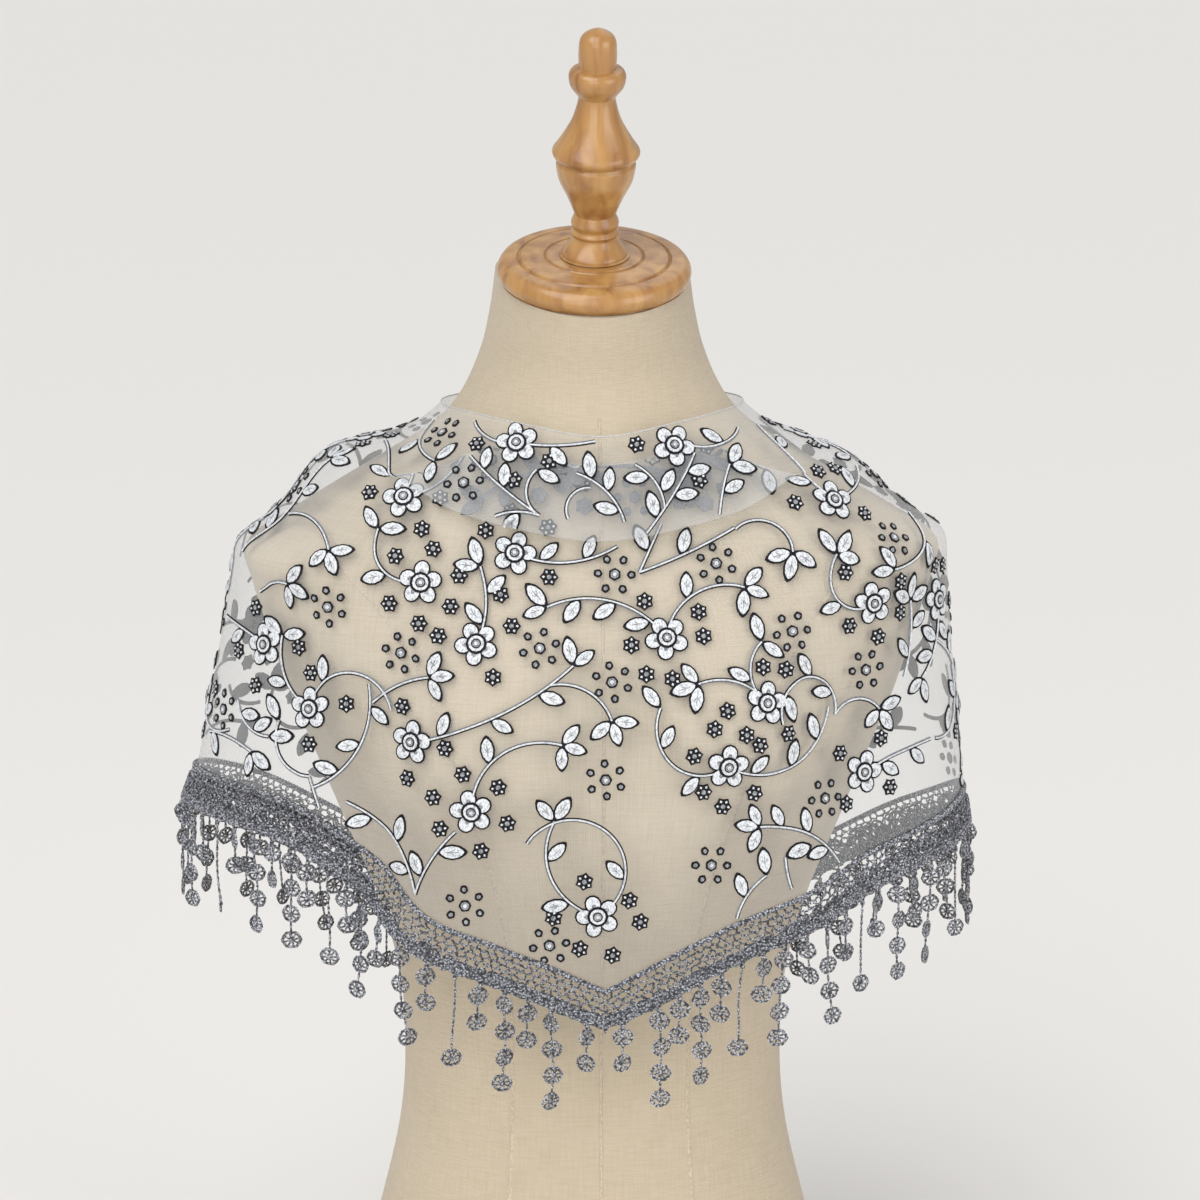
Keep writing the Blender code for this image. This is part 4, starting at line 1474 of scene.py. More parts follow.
    def stem_line(self, vine: Vine) -> tuple[np.ndarray, np.ndarray]:
        """Walks a stem over the cloth.

        Args:
            vine: the stem.

        Returns:
            Its places as (angle, down), and its heading in radians at each.
        """
        steps = round(vine.length / self.stem_step)
        headings = np.radians(np.linspace(vine.heading, vine.heading + vine.turn, steps + 1))
        places = [np.array([vine.angle, vine.down])]
        for heading in headings[:-1]:
            x, y = self.stem_step * math.cos(heading), self.stem_step * math.sin(heading)
            step = self.drape.walk(places[-1][None, :], np.array([x]), np.array([y]), steps=1)[0]
            if not self.stem_from < step[1] < float(self.drape.length(step[0])) - self.stem_margin:
                break
            places.append(step)
        return np.array(places), headings[: len(places)]

    def is_clear(self, places: np.ndarray, gap: float) -> bool:
        """Tells whether places on the cloth are clear of what is already worked."""
        spots = self.drape.points(np.column_stack([places, np.zeros(len(places))]))
        gaps = np.linalg.norm(self.taken[None, :] - spots[:, None], axis=2)
        return bool(gaps.min() > gap)

    def around(self, place: Sequence[float], radius: float) -> np.ndarray:
        """Gives six places round a place on the cloth."""
        turns = np.arange(6) * math.pi / 3
        spot = np.tile([place[0], place[1]], (len(turns), 1))
        return self.drape.walk(spot, radius * np.cos(turns), radius * np.sin(turns))

    def take(self, places: np.ndarray) -> None:
        """Notes places on the cloth as worked."""
        flat = np.column_stack([places, np.zeros(len(places))])
        self.taken = np.concatenate([self.taken, self.drape.points(flat)])

    def work_stem(self, piece: Stitching, path: np.ndarray, heading: np.ndarray) -> None:
        """Works one stem as a white cord on a wider black one."""
        side = np.stack([-np.sin(heading), np.cos(heading)], axis=-1)
        under, on_top = self.stem_rises
        piece.cord(path, side, self.stem_half, under, Thread.OUTLINE)
        piece.cord(path, side, self.stem_core, on_top, Thread.PETAL)
        self.take(path)

    def work_leaves(self, piece: Stitching, vine: Vine, path: np.ndarray, heading: np.ndarray) -> None:
        """Works the leaves of one stem where there is room, on the other side if need be."""
        last, ways = len(path) - 1, np.degrees(heading)
        if vine.leafy_tip:
            for spread in self.tip_spreads:
                size = self.chance.uniform(*self.tip_sizes)
                stray = self.chance.uniform(-self.tip_stray, self.tip_stray)
                self.work_leaf(piece, path[last], ways[last] + spread + stray, size)
        for k in range(vine.leaves):
            i = round(last * (k + 0.6) / (vine.leaves + 0.45))
            lean = self.leaf_lean if k % 2 else -self.leaf_lean
            size = self.chance.uniform(*self.leaf_sizes)
            if not self.work_leaf(piece, path[i], ways[i] + lean, size):
                self.work_leaf(piece, path[i], ways[i] - lean, size)

    def work_leaf(self, piece: Stitching, place: np.ndarray, turn: float, size: float) -> bool:
        """Works one leaf if there is room for it.

        Args:
            piece: the piece that it goes in.
            place: where it leaves its stem, as (angle, down).
            turn: its heading, in degrees.
            size: how many times its drawn size it is.

        Returns:
            Whether it was worked.
        """
        reach = np.array([0.6, 0.95]) * self.leaf_length * size
        x, y = reach * math.cos(math.radians(turn)), reach * math.sin(math.radians(turn))
        spine = self.drape.walk(np.tile(place, (len(reach), 1)), x, y)
        room = all(piece.fits(angle, down, self.leaf_margin) for angle, down in spine)
        if not (room and self.is_clear(spine, self.leaf_gap)):
            return False
        piece.stamp(self.leaf, place[0], place[1], turn, size)
        self.take(spine)
        return True

    def work_ring(self, piece: Stitching, cluster: Cluster) -> None:
        """Works one ring of rings, moved a little if its place is taken."""
        turns = np.arange(8) * math.pi / 4
        steps = np.concatenate([[0.0], np.repeat(self.ring_moves, len(turns))])
        ways = np.concatenate([[0.0], np.tile(turns, len(self.ring_moves))])
        spots = self.drape.walk(np.tile(cluster, (len(steps), 1)), steps * np.cos(ways), steps * np.sin(ways))
        for spot in spots:
            fits = piece.fits(spot[0], spot[1], self.ring_margin)
            if fits and self.is_clear(spot[None, :], self.ring_gap):
                piece.stamp(self.ring, spot[0], spot[1], self.chance.uniform(0, 60))
                self.take(self.around(spot, self.small_ring_at))
                return

    def work_rosettes(self, piece: Stitching, flower: Flower) -> None:
        """Works the rosettes round one flower where there is room."""
        place = np.array([[flower.angle, flower.down]])
        for k in range(flower.rosettes):
            turn = flower.turn + self.rosette_turn + 360.0 * k / flower.rosettes
            for nudge in self.rosette_nudges:
                way = math.radians(turn + nudge)
                ring = self.rosette_ring * self.chance.uniform(*self.rosette_spread)
                x, y = np.array([ring * math.cos(way)]), np.array([ring * math.sin(way)])
                spot = self.drape.walk(place, x, y)[0]
                fits = piece.fits(spot[0], spot[1], self.rosette_margin)
                if fits and self.is_clear(spot[None, :], self.rosette_gap):
                    piece.stamp(self.rosette, spot[0], spot[1], turn)
                    self.take(self.around(spot, self.rosette_reach))
                    break

    def on_back(self, angle: float, heading: float = 0.0) -> tuple[float, float]:
        """Turns an angle and a heading of the front chart into those of the back."""
        return math.copysign(180.0 - abs(angle), angle), 180.0 - heading

    def charts(self) -> tuple[list[Flower], list[Cluster], list[Vine]]:
        """Gives the whole chart, the front's and the back's."""
        flowers, clusters, vines = list(FLOWERS), list(CLUSTERS), list(VINES)
        for row in [row for row in FLOWERS if abs(row.angle) < self.side_angle]:
            angle, turn = self.on_back(row.angle, row.turn)
            flowers.append(Flower(angle, row.down + self.back_shift, turn, row.rosettes))
        for row in [row for row in CLUSTERS if abs(row.angle) < self.side_angle]:
            clusters.append(Cluster(self.on_back(row.angle)[0], row.down + self.back_shift))
        for row in [row for row in VINES if abs(row.angle) < self.side_angle]:
            angle, heading = self.on_back(row.angle, row.heading)
            down = row.down + self.back_shift
            vines.append(row._replace(angle=angle, down=down, heading=heading, turn=-row.turn))
        return flowers, clusters, vines

    def dress(self, finishes: Sequence[bpy.types.Material]) -> list[bpy.types.Object]:
        """Works the whole chart."""
        flowers, clusters, vines = self.charts()
        names = ("embroidered_flowers", "embroidered_rosettes", "embroidered_rings", "embroidered_stems")
        blooms, rosettes, rings, stems = (Stitching(name, self.drape) for name in names)
        leaves = Stitching("embroidered_leaves", self.drape)
        blooming = [row for row in flowers if blooms.fits(row.angle, row.down, self.flower_margin)]
        lines = [(row, *self.stem_line(row)) for row in vines]
        for row in blooming:
            blooms.stamp(self.flower, row.angle, row.down, row.turn)
            self.take(self.around((row.angle, row.down), self.flower_reach))
        for _, path, heading in lines:
            if len(path) > self.shortest_stem:
                self.work_stem(stems, path, heading)
        for row in clusters:
            self.work_ring(rings, row)
        for row, path, heading in lines:
            if len(path) > self.shortest_stem:
                self.work_leaves(leaves, row, path, heading)
        for row in blooming:
            self.work_rosettes(rosettes, row)
        return [piece.dress(finishes) for piece in (blooms, rosettes, rings, stems, leaves)]


@dataclass
class HemLine:
    """The net's hem on one side, from the front point: it turns (along, reach, lift) into points."""

    drape: Drape
    side: Side
    columns: int = 40
    mitre: float = 1.2
    left_flare: float = 0.38
    right_flare: float = 0.18
    samples: int = 1200

    def __post_init__(self) -> None:
        """Lays the line, the way down and the way out at even steps along the hem."""
        end = self.side.value * (180.0 + self.drape.back_lap)
        angles = np.linspace(0.0, end, 2400)
        hem = self.drape.grid[:, -1]
        points = np.stack([np.interp(angles, self.drape.angles, hem[:, k]) for k in range(3)], axis=-1)
        reach = np.concatenate([[0.0], np.cumsum(np.linalg.norm(np.diff(points, axis=0), axis=1))])
        self.length = float(reach[-1])
        self.along = np.linspace(0.0, self.length, self.samples)
        self.points = np.stack([np.interp(self.along, reach, points[:, k]) for k in range(3)], axis=-1)
        angle = np.radians(np.interp(self.along, reach, angles))
        column = self.length / self.columns
        ahead, behind = self.at_points(self.along + column), self.at_points(self.along - column)
        run = ahead - behind
        run /= np.linalg.norm(run, axis=1, keepdims=True)
        self.run = run
        hang = np.array([0.0, 0.0, -1.0])
        down = hang - run * (run @ hang)[:, None]
        down /= np.linalg.norm(down, axis=1, keepdims=True)
        share = smoothstep(self.along / column, 0.0, self.mitre)[:, None]
        down = hang * (1 - share) + down * share
        out = np.stack([np.sin(angle), -np.cos(angle), np.zeros_like(angle)], axis=-1)
        out -= run * (out * run).sum(axis=1)[:, None]
        out /= np.linalg.norm(out, axis=1, keepdims=True)
        flare = self.left_flare if self.side is Side.LEFT else self.right_flare
        down += out * (flare * np.sin(angle) ** 2)[:, None]
        self.down = down / np.linalg.norm(down, axis=1, keepdims=True)
        out -= self.down * (out * self.down).sum(axis=1)[:, None]
        self.out = out / np.linalg.norm(out, axis=1, keepdims=True)

    def at_points(self, along: np.ndarray) -> np.ndarray:
        """Gives the hem's points at distances along it."""
        along = np.clip(along, 0.0, self.length)
        return np.stack([np.interp(along, self.along, self.points[:, k]) for k in range(3)], axis=-1)

    def place(self, flat: np.ndarray) -> np.ndarray:
        """Turns rows of (along, reach, lift) into points."""
        along = np.clip(flat[:, 0], 0.0, self.length)
        columns = []
        for table in (self.points, self.down, self.out):
            columns.append(np.stack([np.interp(along, self.along, table[:, k]) for k in range(3)], axis=-1))
        ends = np.where(flat[:, :1] < 0, self.run[0], self.run[-1])
        beyond = (flat[:, 0] - along)[:, None] * ends
        return columns[0] + columns[1] * flat[:, 1:2] + columns[2] * flat[:, 2:3] + beyond


@dataclass
class LaceBorder:
    """One short side's corded lace: a roped heading, rows of mesh cells, a braided ridge and loops."""

    line: HemLine
    strands: int = 46
    cell_rows: int = 4
    cell_width: float = 0.0052
    cells_from: float = 0.0026
    cell_row: float = 0.0034
    cell_weld: float = 0.12
    net_thread: float = 0.0011
    jitter: float = 0.00090
    lift: float = 0.0010
    heading_at: float = 0.0020
    heading_thread: float = 0.00095
    heading_pitch: float = 0.0066
    ridge_at: tuple[float, ...] = (0.0190, 0.0218)
    ridge_swing: float = 0.00135
    ridge_thread: float = 0.00075
    ridge_pitch: tuple[float, ...] = (0.0094, 0.0103)
    ridge_lift: float = 0.0006
    plait_depth: float = 0.45
    band_front: float = 0.0160
    band_side: float = 0.0080
    band_end: float = 0.0240
    band_turn: tuple[float, float] = (0.08, 0.22)
    band_threads: int = 11
    band_thread: tuple[float, float] = (0.00050, 0.00075)
    band_waves: tuple[float, float] = (0.55, 0.45)
    band_stray: float = 0.4
    band_lift: float = 0.0005
    band_swing: float = 0.0010
    step: float = 0.0014
    node_reach: float = 0.0262
    loop_top: float = 0.0228
    loop_ply: float = 0.00045
    loop_turns: float = 14.0
    loop_thread: float = 0.00055
    knot: float = 0.0016
    overlap: float = 0.0008
    waves: tuple[tuple[float, float], ...] = ((0.030, 0.055), (0.011, 0.019), (0.009, 0.014))
    seed: int = 11

    def build_net(self) -> bmesh.types.BMesh:
        """Builds the rows of six-sided cells as a lattice of threads."""
        bm = bmesh.new()
        columns = round(self.line.length / self.cell_width)
        width = self.line.length / columns
        tall = self.cell_row / 1.5
        for row in range(self.cell_rows):
            for column in range(columns):
                along = (column + (0.5 if row % 2 else 0.0) + 0.25) * width
                reach = self.cells_from + tall + row * self.cell_row
                size = Matrix.Diagonal((width / math.sqrt(3), tall, 1.0, 1.0))
                spot = Matrix.Translation((along, reach, 0.0)) @ size @ Matrix.Rotation(math.pi / 6, 4, "Z")
                bmesh.ops.create_circle(bm, cap_ends=True, segments=6, radius=1.0, matrix=spot)
        bmesh.ops.remove_doubles(bm, verts=bm.verts, dist=width * self.cell_weld)
        chance = random.Random(self.seed + self.line.side.value)
        for vert in bm.verts:
            vert.co += Vector([chance.uniform(-1, 1) for _ in range(3)]) * self.jitter
        ways = {"use_boundary": True, "use_replace": True, "use_even_offset": False}
        bmesh.ops.wireframe(bm, faces=bm.faces, thickness=self.net_thread, **ways)
        self.bend(bm)
        return bm

    def bend(self, bm: bmesh.types.BMesh) -> None:
        """Lays what was built flat along the hem."""
        flat = np.array([vert.co for vert in bm.verts])
        flat[:, 2] += self.lift
        place_verts(bm.verts, self.line.place(flat))
        bmesh.ops.recalc_face_normals(bm, faces=bm.faces)

    def lay_cord(self, bm: bmesh.types.BMesh, flat: np.ndarray, radius: float, sides: int) -> None:
        """Lays a round cord along a line of (along, reach, lift)."""
        add_tube(bm, self.line.place(flat), radius, sides)

    def twist(self, reach: float, swing: float, pitch: float, phase: float, step: float) -> np.ndarray:
        """Gives one strand of a rope that runs along the hem."""
        along = np.arange(-self.overlap, self.line.length - self.overlap, step)
        turn = 2 * math.pi * along / pitch + phase
        return np.stack([along, reach + swing * np.sin(turn), self.lift + swing * np.cos(turn)], axis=-1)

    def braid(self, reach: float, swing: float, pitch: float, phase: float, step: float) -> np.ndarray:
        """Gives one strand of a flat plait that runs along the hem."""
        along = np.arange(-self.overlap, self.line.length - self.overlap, step)
        turn = 2 * math.pi * along / pitch + phase
        lift = self.lift + self.plait_depth * swing * np.sin(2 * turn)
        return np.stack([along, reach + swing * np.sin(turn), lift], axis=-1)

    def wander(self, chance: random.Random) -> np.ndarray:
        """Gives one loose thread of the band above the loops."""
        along = np.arange(-self.overlap, self.line.length - self.overlap, self.step)
        waves = []
        for span in self.waves:
            pitch, phase = chance.uniform(*span), chance.uniform(0, LAST_PHASE)
            waves.append(np.sin(along * 2 * math.pi / pitch + phase))
        start = np.interp(along, self.band_turn, (self.band_front, self.band_side))
        long_share, short_share = self.band_waves
        stray = chance.uniform(-self.band_stray, self.band_stray)
        share = np.clip(long_share * waves[0] + short_share * waves[1] + stray, -1.0, 1.0)
        reach = start + (self.band_end - start) * (share + 1.0) / 2
        lift = self.lift + self.band_lift + self.band_swing * waves[2]
        return np.stack([along, reach, lift], axis=-1)

    def build_cords(self) -> bmesh.types.BMesh:
        """Builds the heading's rope, the ridge's plaits, loose threads and the loops below."""
        bm = bmesh.new()
        for k in range(3):
            phase = 2 * math.pi * k / 3
            line = self.twist(self.heading_at, self.heading_thread, self.heading_pitch, phase, 0.0011)
            self.lay_cord(bm, line, self.heading_thread, 5)
        for row, (reach, pitch) in enumerate(zip(self.ridge_at, self.ridge_pitch)):
            for k in range(3):
                phase = 2 * math.pi * k / 3 + row
                line = self.braid(reach, self.ridge_swing, pitch, phase, 0.0013)
                line[:, 2] += self.ridge_lift
                self.lay_cord(bm, line, self.ridge_thread, 5)
        chance = random.Random(self.seed + self.line.side.value)
        for thread in range(self.band_threads):
            before = len(bm.faces)
            self.lay_cord(bm, self.wander(chance), chance.uniform(*self.band_thread), 4)
            bm.faces.ensure_lookup_table()
            for face in bm.faces[before:]:
                # every other band thread takes the darker copy of the yarn, painted shade in the dense band
                face.material_index = thread % 2
        self.add_loops(bm, chance)
        close_up(bm)
        return bm

    def add_loops(self, bm: bmesh.types.BMesh, chance: random.Random) -> None:
        """Adds the loops that the strands hang from, with a knot where two meet."""
        pitch = self.line.length / self.strands
        for k in range(self.strands + 1):
            start, end = max((k - 0.5) * pitch, 0.0), min((k + 0.5) * pitch, self.line.length)
            share = np.linspace(0.0, 1.0, 13)
            rise = np.clip(np.sin(math.pi * share) ** 0.5 * chance.uniform(0.9, 1.08), 0.0, 1.0)
            reach = self.node_reach - (self.node_reach - self.loop_top) * rise
            for ply in (0.0, math.pi):
                turn = self.loop_turns * share + ply
                twine, lift = self.loop_ply * np.sin(turn), self.lift + self.loop_ply * np.cos(turn)
                line = np.stack([start + (end - start) * share, reach + twine, lift], axis=-1)
                self.lay_cord(bm, line, self.loop_thread, 4)
            if k < self.strands:
                knot = self.line.place(np.array([[end, self.node_reach, self.lift]]))[0]
                spot = Matrix.Translation(knot) @ Matrix.Diagonal((1.0, 1.0, 1.25, 1.0))
                bmesh.ops.create_icosphere(bm, subdivisions=1, radius=self.knot, matrix=spot)

    def dress(self, yarns: Sequence[bpy.types.Material]) -> list[bpy.types.Object]:
        """Builds and dresses one side's lace."""
        word = self.line.side.word
        net = show(f"lace_cells_{word}", self.build_net(), yarns)
        cords = show(f"lace_cords_{word}", self.build_cords(), yarns)
        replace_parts(cords, f"border_{word}")
        return [net, cords]


class Strand(NamedTuple):
    """A fringe strand: how far down its first medallion lies, and how many it has."""

    first: float
    medallions: int


STRANDS_IN_TURN = (
    Strand(0.0062, 2),
    Strand(0.0062, 4),
    Strand(0.0062, 2),
    Strand(0.0062, 4),
    Strand(0.0062, 2),
    Strand(0.0480, 1),
)


@dataclass
class Fringe:
    """A run of strands with crochet medallions, hung from the lace's loops."""

    line: HemLine
    name: str
    node: str
    first: int
    last: int
    strands: int = 46
    pitch: float = 0.0155
    half: tuple[float, float] = (0.0063, 0.0055)
    rim: float = 0.00105
    spoke: float = 0.0007
    hub: float = 0.0021
    scallops: int = 12
    cord: float = 0.0009
    cord_twist: float = 0.0036
    cord_step: float = 0.0012
    cord_lift: float = 0.0010
    sway_waves: float = 110.0
    rim_flat: float = 0.9
    hub_flat: float = 0.6
    scallop_depth: float = 0.03
    root: float = 0.0261
    sway: float = 0.0012
    lean: float = 3.5
    face_turn: float = 22.0
    wheel_tilt: float = 12.0
    seed: int = 23

    def draw_wheel(self) -> bpy.types.Mesh:
        """Draws one medallion: a scalloped rim, crossing threads and a hub."""
        bm = bmesh.new()
        rim = Matrix.Translation((1.0, 0.0, 0.0)) @ Matrix.Rotation(math.pi / 2, 4, "X")
        made = bmesh.ops.create_circle(bm, segments=3, radius=1.0, matrix=rim)["verts"]
        edges = list({edge for vert in made for edge in vert.link_edges})
        middle = (self.half[0] + self.half[1]) / 2 - self.rim
        for vert in made:
            vert.co = ((vert.co.x - 1.0) * self.rim + middle, 0.0, vert.co.z * self.rim * self.rim_flat)
        bmesh.ops.spin(bm, geom=[*made, *edges], steps=self.scallops, **FULL_TURN)
        bmesh.ops.remove_doubles(bm, verts=bm.verts, dist=WELD)
        for vert in bm.verts:
            turn = math.atan2(vert.co.y, vert.co.x)
            vert.co *= 1.0 + self.scallop_depth * math.cos(turn * self.scallops / 2)
        for i in range(4):
            lay = Matrix.Rotation(math.pi * (i + 0.3) / 4, 4, "Z") @ Matrix.Rotation(math.pi / 2, 4, "Y")
            size = {"radius1": self.spoke, "radius2": self.spoke, "depth": 2 * middle}
            bmesh.ops.create_cone(bm, cap_ends=False, segments=3, matrix=lay, **size)
        flat = Matrix.Diagonal((1.0, 1.0, self.hub_flat, 1.0))
        bmesh.ops.create_icosphere(bm, subdivisions=1, radius=self.hub, matrix=flat)
        share = (self.half[0] - self.half[1]) / (self.half[0] + self.half[1])
        bmesh.ops.scale(bm, vec=(1.0 + share, 1.0 - share, 1.0), verts=bm.verts)
        mesh = bpy.data.meshes.new("wheel")
        bm.to_mesh(mesh)
        bm.free()
        return mesh

    def build(self) -> bmesh.types.BMesh:
        """Builds every strand of this run."""
        bm, wheel = bmesh.new(), self.draw_wheel()
        outline = np.array([vert.co for vert in wheel.vertices])
        chance = random.Random(self.seed + self.first + 100 * self.line.side.value)
        spacing = self.line.length / self.strands
        for k in range(self.first, self.last):
            kind = STRANDS_IN_TURN[k % len(STRANDS_IN_TURN)]
            along = (k + 0.5) * spacing
            root = self.line.place(np.array([[along, self.root, self.cord_lift]]))[0]
            i = min(int(along / self.line.length * self.line.samples), self.line.samples - 1)
            across = self.line.run[i] * (1.0, 1.0, 0.0)
            across /= np.linalg.norm(across)
            phase, swing = chance.uniform(0, LAST_PHASE), chance.uniform(0.3, 1.0) * self.sway
            lean = math.radians(chance.gauss(0, self.lean))
            deepest = kind.first + (kind.medallions - 1) * self.pitch
            depth = np.arange(0.0, deepest, self.cord_step)
            wave = np.sin(phase + depth * self.sway_waves) - math.sin(phase)
            drift = swing * wave + depth * math.sin(lean)
            path = root + drift[:, None] * across
            path[:, 2] -= depth
            knobs = self.cord * (0.75 + 0.25 * np.sin(depth * 2 * math.pi / self.cord_twist))
            add_tube(bm, path, knobs, 5)
            for m in range(kind.medallions):
                down = kind.first + m * self.pitch
                turn = math.radians(chance.gauss(0, self.face_turn))
                through = np.array([-across[1], across[0], 0.0])
                wide = across * math.cos(turn) + through * math.sin(turn)
                thick = np.cross(wide, (0.0, 0.0, -1.0))
                tilt = math.radians(chance.uniform(-self.wheel_tilt, self.wheel_tilt))
                x = outline[:, 0] * math.cos(tilt) - outline[:, 1] * math.sin(tilt)
                y = outline[:, 0] * math.sin(tilt) + outline[:, 1] * math.cos(tilt)
                centre = root + across * np.interp(down, depth, drift)
                points = centre + x[:, None] * wide + outline[:, 2:3] * thick
                points[:, 2] -= down + y
                bm.from_mesh(wheel)
                bm.verts.ensure_lookup_table()
                place_verts(bm.verts[len(bm.verts) - len(outline) :], points)
        close_up(bm)
        return bm

    def dress(self, finish: bpy.types.Material) -> bpy.types.Object:
        """Builds and dresses this run."""
        piece = show(self.name, self.build(), [finish])
        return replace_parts(piece, self.node)


CAP = (
    (0.0000, 0.0150),
    (0.0150, 0.0150),
    (0.0262, 0.0150),
    (0.0268, 0.0147),
    (0.0280, 0.0136),
    (0.0292, 0.0146),
    (0.0300, 0.0147),
    (0.0360, 0.0145),
    (0.0418, 0.0140),
    (0.0424, 0.0137),
    (0.0436, 0.0122),
    (0.0448, 0.0132),
    (0.0455, 0.0133),
    (0.0515, 0.0125),
    (0.0545, 0.0100),
    (0.0560, 0.0062),
    (0.0552, 0.0024),
    (0.0530, 0.0003),
    (0.0520, 0.0000),
    (0.0300, 0.0000),
    (0.0000, 0.0000),
)
FINIAL = (
    (0.0000, 0.1365),
    (0.0067, 0.1336),
    (0.0101, 0.1295),
    (0.0109, 0.1215),
    (0.0107, 0.1140),
    (0.0113, 0.1128),
    (0.0146, 0.1118),
    (0.0163, 0.1082),
    (0.0152, 0.1023),
    (0.0113, 0.0969),
    (0.0107, 0.0940),
    (0.0141, 0.0820),
    (0.0209, 0.0699),
    (0.0249, 0.0639),
    (0.0243, 0.0606),
    (0.0219, 0.0584),
    (0.0221, 0.0572),
    (0.0228, 0.0548),
    (0.0210, 0.0457),
    (0.0165, 0.0366),
    (0.0122, 0.0262),
    (0.0120, 0.0250),
    (0.0138, 0.0200),
    (0.0126, 0.0163),
    (0.0138, 0.0139),
    (0.0126, 0.0114),
    (0.0150, 0.0070),
    (0.0185, 0.0026),
    (0.0190, 0.0008),
    (0.0190, 0.0000),
    (0.0000, 0.0000),
)


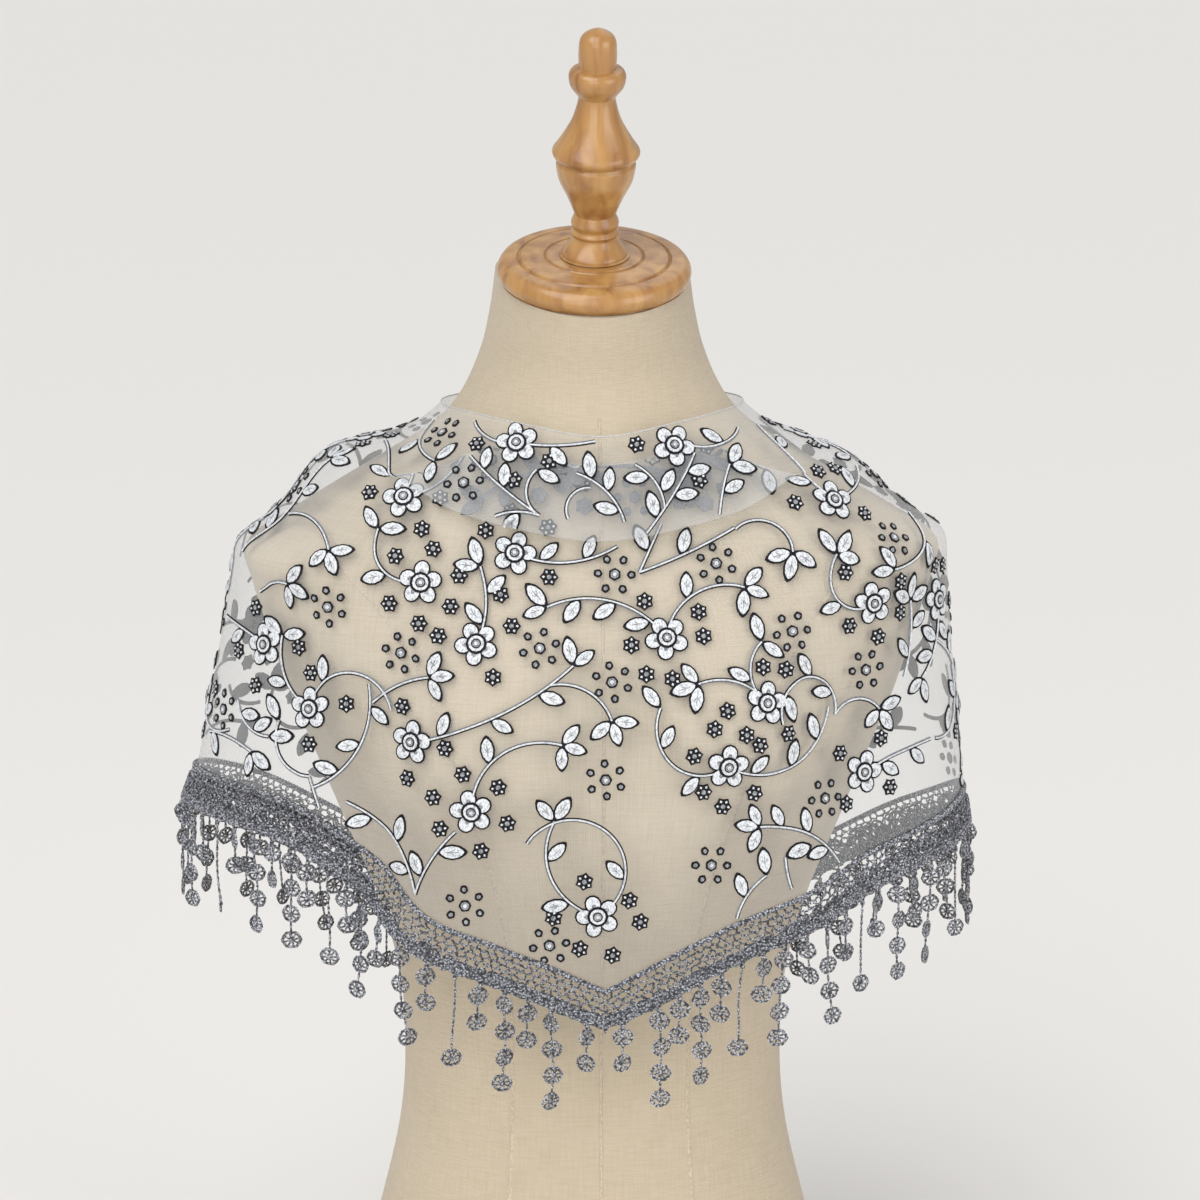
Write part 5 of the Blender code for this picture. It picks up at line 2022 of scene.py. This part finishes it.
@dataclass
class Studio:
    """The floor, the lights and the camera."""

    distance: float = 2.4
    pitch: float = 12.0
    azimuth: float = 3.4
    target: tuple[float, float, float] = (0.0045, 0.0, 0.478)
    lens: float = 122.0
    sensor: float = 36.0
    floor_half: float = 30.0
    floor_drop: float = 0.0005
    sun_softness: float = 50.0
    room_colour: Tone = (1.0, 0.99, 0.975)
    room_light: float = 0.55

    def build_floor(self) -> bpy.types.Object:
        """Builds a wide pale floor."""
        bm = bmesh.new()
        bmesh.ops.create_grid(bm, x_segments=1, y_segments=1, size=self.floor_half)
        bmesh.ops.translate(bm, verts=bm.verts, vec=(0.0, 0.0, -self.floor_drop))
        mesh = bpy.data.meshes.new("studio_floor")
        bm.to_mesh(mesh)
        bm.free()
        mesh.materials.append(BackdropFinish().make())
        floor = bpy.data.objects.new("studio_floor", mesh)
        bpy.context.scene.collection.objects.link(floor)
        return floor

    def add_sun(self, name: str, turn: float, height: float, power: float) -> None:
        """Adds a soft, far light.

        Args:
            name: the light's name.
            turn: where it stands, in degrees from the front, left of it if below 0.
            height: how high it stands, in degrees.
            power: its strength.
        """
        lamp = bpy.data.lights.new(name, "SUN")
        lamp.energy = power
        lamp.angle = math.radians(self.sun_softness)
        made = bpy.data.objects.new(name, lamp)
        made.rotation_euler = (math.radians(90.0 - height), 0.0, math.radians(turn))
        bpy.context.scene.collection.objects.link(made)

    def add_light(
        self, name: str, place: tuple[float, float, float], size: float, power: float, colour: Tone
    ) -> None:
        """Adds a soft light that looks at the shawl.

        Args:
            name: the light's name.
            place: where it stands.
            size: the side of its square, in metres.
            power: its strength, in watts.
            colour: its colour.
        """
        lamp = bpy.data.lights.new(name, "AREA")
        lamp.shape = "SQUARE"
        lamp.size = size
        lamp.energy = power
        lamp.color = colour
        made = bpy.data.objects.new(name, lamp)
        made.location = place
        look = Vector(self.target) - Vector(place)
        made.rotation_euler = look.to_track_quat("-Z", "Y").to_euler()
        bpy.context.scene.collection.objects.link(made)

    def add_lights(self) -> None:
        """Adds the key, the lights that soften its shadows, and the room's own light."""
        self.add_sun("key_light", -36.0, 48.0, 1.8)
        self.add_sun("back_light", 150.0, 55.0, 0.35)
        self.add_light("front_light", (-0.8, -2.5, 1.1), 1.8, 22.0, (1.0, 0.985, 0.96))
        self.add_light("fill_light", (2.0, -1.9, 1.1), 1.8, 27.0, (1.0, 0.99, 0.98))
        world = bpy.data.worlds.new("room")
        world.use_nodes = True
        sky = world.node_tree.nodes["Background"]
        sky.inputs["Color"].default_value = (*self.room_colour, 1.0)
        sky.inputs["Strength"].default_value = self.room_light
        bpy.context.scene.world = world

    def add_camera(self) -> None:
        """Adds the camera at the photograph's angle."""
        pitch, azimuth = math.radians(self.pitch), math.radians(self.azimuth)
        level = math.cos(pitch)
        back = Vector((-math.sin(azimuth) * level, -math.cos(azimuth) * level, math.sin(pitch)))
        data = bpy.data.cameras.new("camera")
        data.lens = self.lens
        data.sensor_width = self.sensor
        camera = bpy.data.objects.new("camera", data)
        camera.location = Vector(self.target) + back * self.distance
        camera.rotation_euler = (-back).to_track_quat("-Z", "Y").to_euler()
        bpy.context.scene.collection.objects.link(camera)
        bpy.context.scene.camera = camera

    def set_up(self) -> None:
        """Sets the whole studio up."""
        self.add_camera()
        self.build_floor()
        self.add_lights()
        bpy.context.scene.view_settings.view_transform = "Standard"


def main() -> None:
    """Builds the form and the shawl on it, then sets up the studio."""
    logging.basicConfig(level=logging.INFO, format="%(message)s")
    form = FormShape()
    drape = Drape(form)
    Torso(form).dress()
    wood = WoodFinish().make()
    TurnedWood("turned_neck_cap", "neck_cap", CAP, 0.0004).dress(wood)
    TurnedWood("turned_finial", "finial", FINIAL, 0.0158).dress(wood)

    soot = (0.003, 0.003, 0.004), (0.016, 0.016, 0.020)
    black = YarnFinish("black_thread", *soot, 1500.0, roughness=0.7, sheen=0.0, shine=0.15)
    white = YarnFinish("white_thread", (0.31, 0.335, 0.37), (0.62, 0.64, 0.665), 1100.0, low=0.34, high=0.54)
    grey = YarnFinish("grey_thread", (0.10, 0.105, 0.115), (0.34, 0.35, 0.37), 1300.0)
    bobbin = YarnFinish("bobbin_thread", (0.11, 0.12, 0.13), (0.21, 0.22, 0.24), 1300.0)
    threads = [black.make(), white.make(), grey.make(), bobbin.make()]
    # slate yarn: its own grey-blue, with painted highlights on the loops and painted shade between them
    slate = LoopShadedYarnFinish("slate_yarn", (0.46, 0.48, 0.53), (0.145, 0.152, 0.175), (0.017, 0.018, 0.024))
    # a darker copy of the slate yarn: painted shade for every other thread of the lace's band
    shaded_slate = LoopShadedYarnFinish("slate_yarn_shaded_copy", (0.26, 0.27, 0.30), (0.070, 0.074, 0.090), (0.010, 0.011, 0.015))
    yarns = [slate.make(), shaded_slate.make()]

    selvedge = YarnFinish("selvedge_thread", (0.36, 0.37, 0.38), (0.52, 0.53, 0.54), 1300.0)
    cloth, edge = NetCloth(drape).dress(TulleFinish().make(), selvedge.make())
    attached = [edge, *Embroidery(drape).dress(threads)]
    for side in Side:
        line = HemLine(drape, side)
        attached += LaceBorder(line).dress(yarns)
        for word, first, last in (("front", 0, 23), ("back", 23, 46)):
            name, node = f"medallion_fringe_{word}_{side.word}", f"fringe_{word}_{side.word}"
            attached.append(Fringe(line, name, node, first, last).dress(yarns[0]))
    Studio().set_up()


if __name__ == "__main__":
    main()
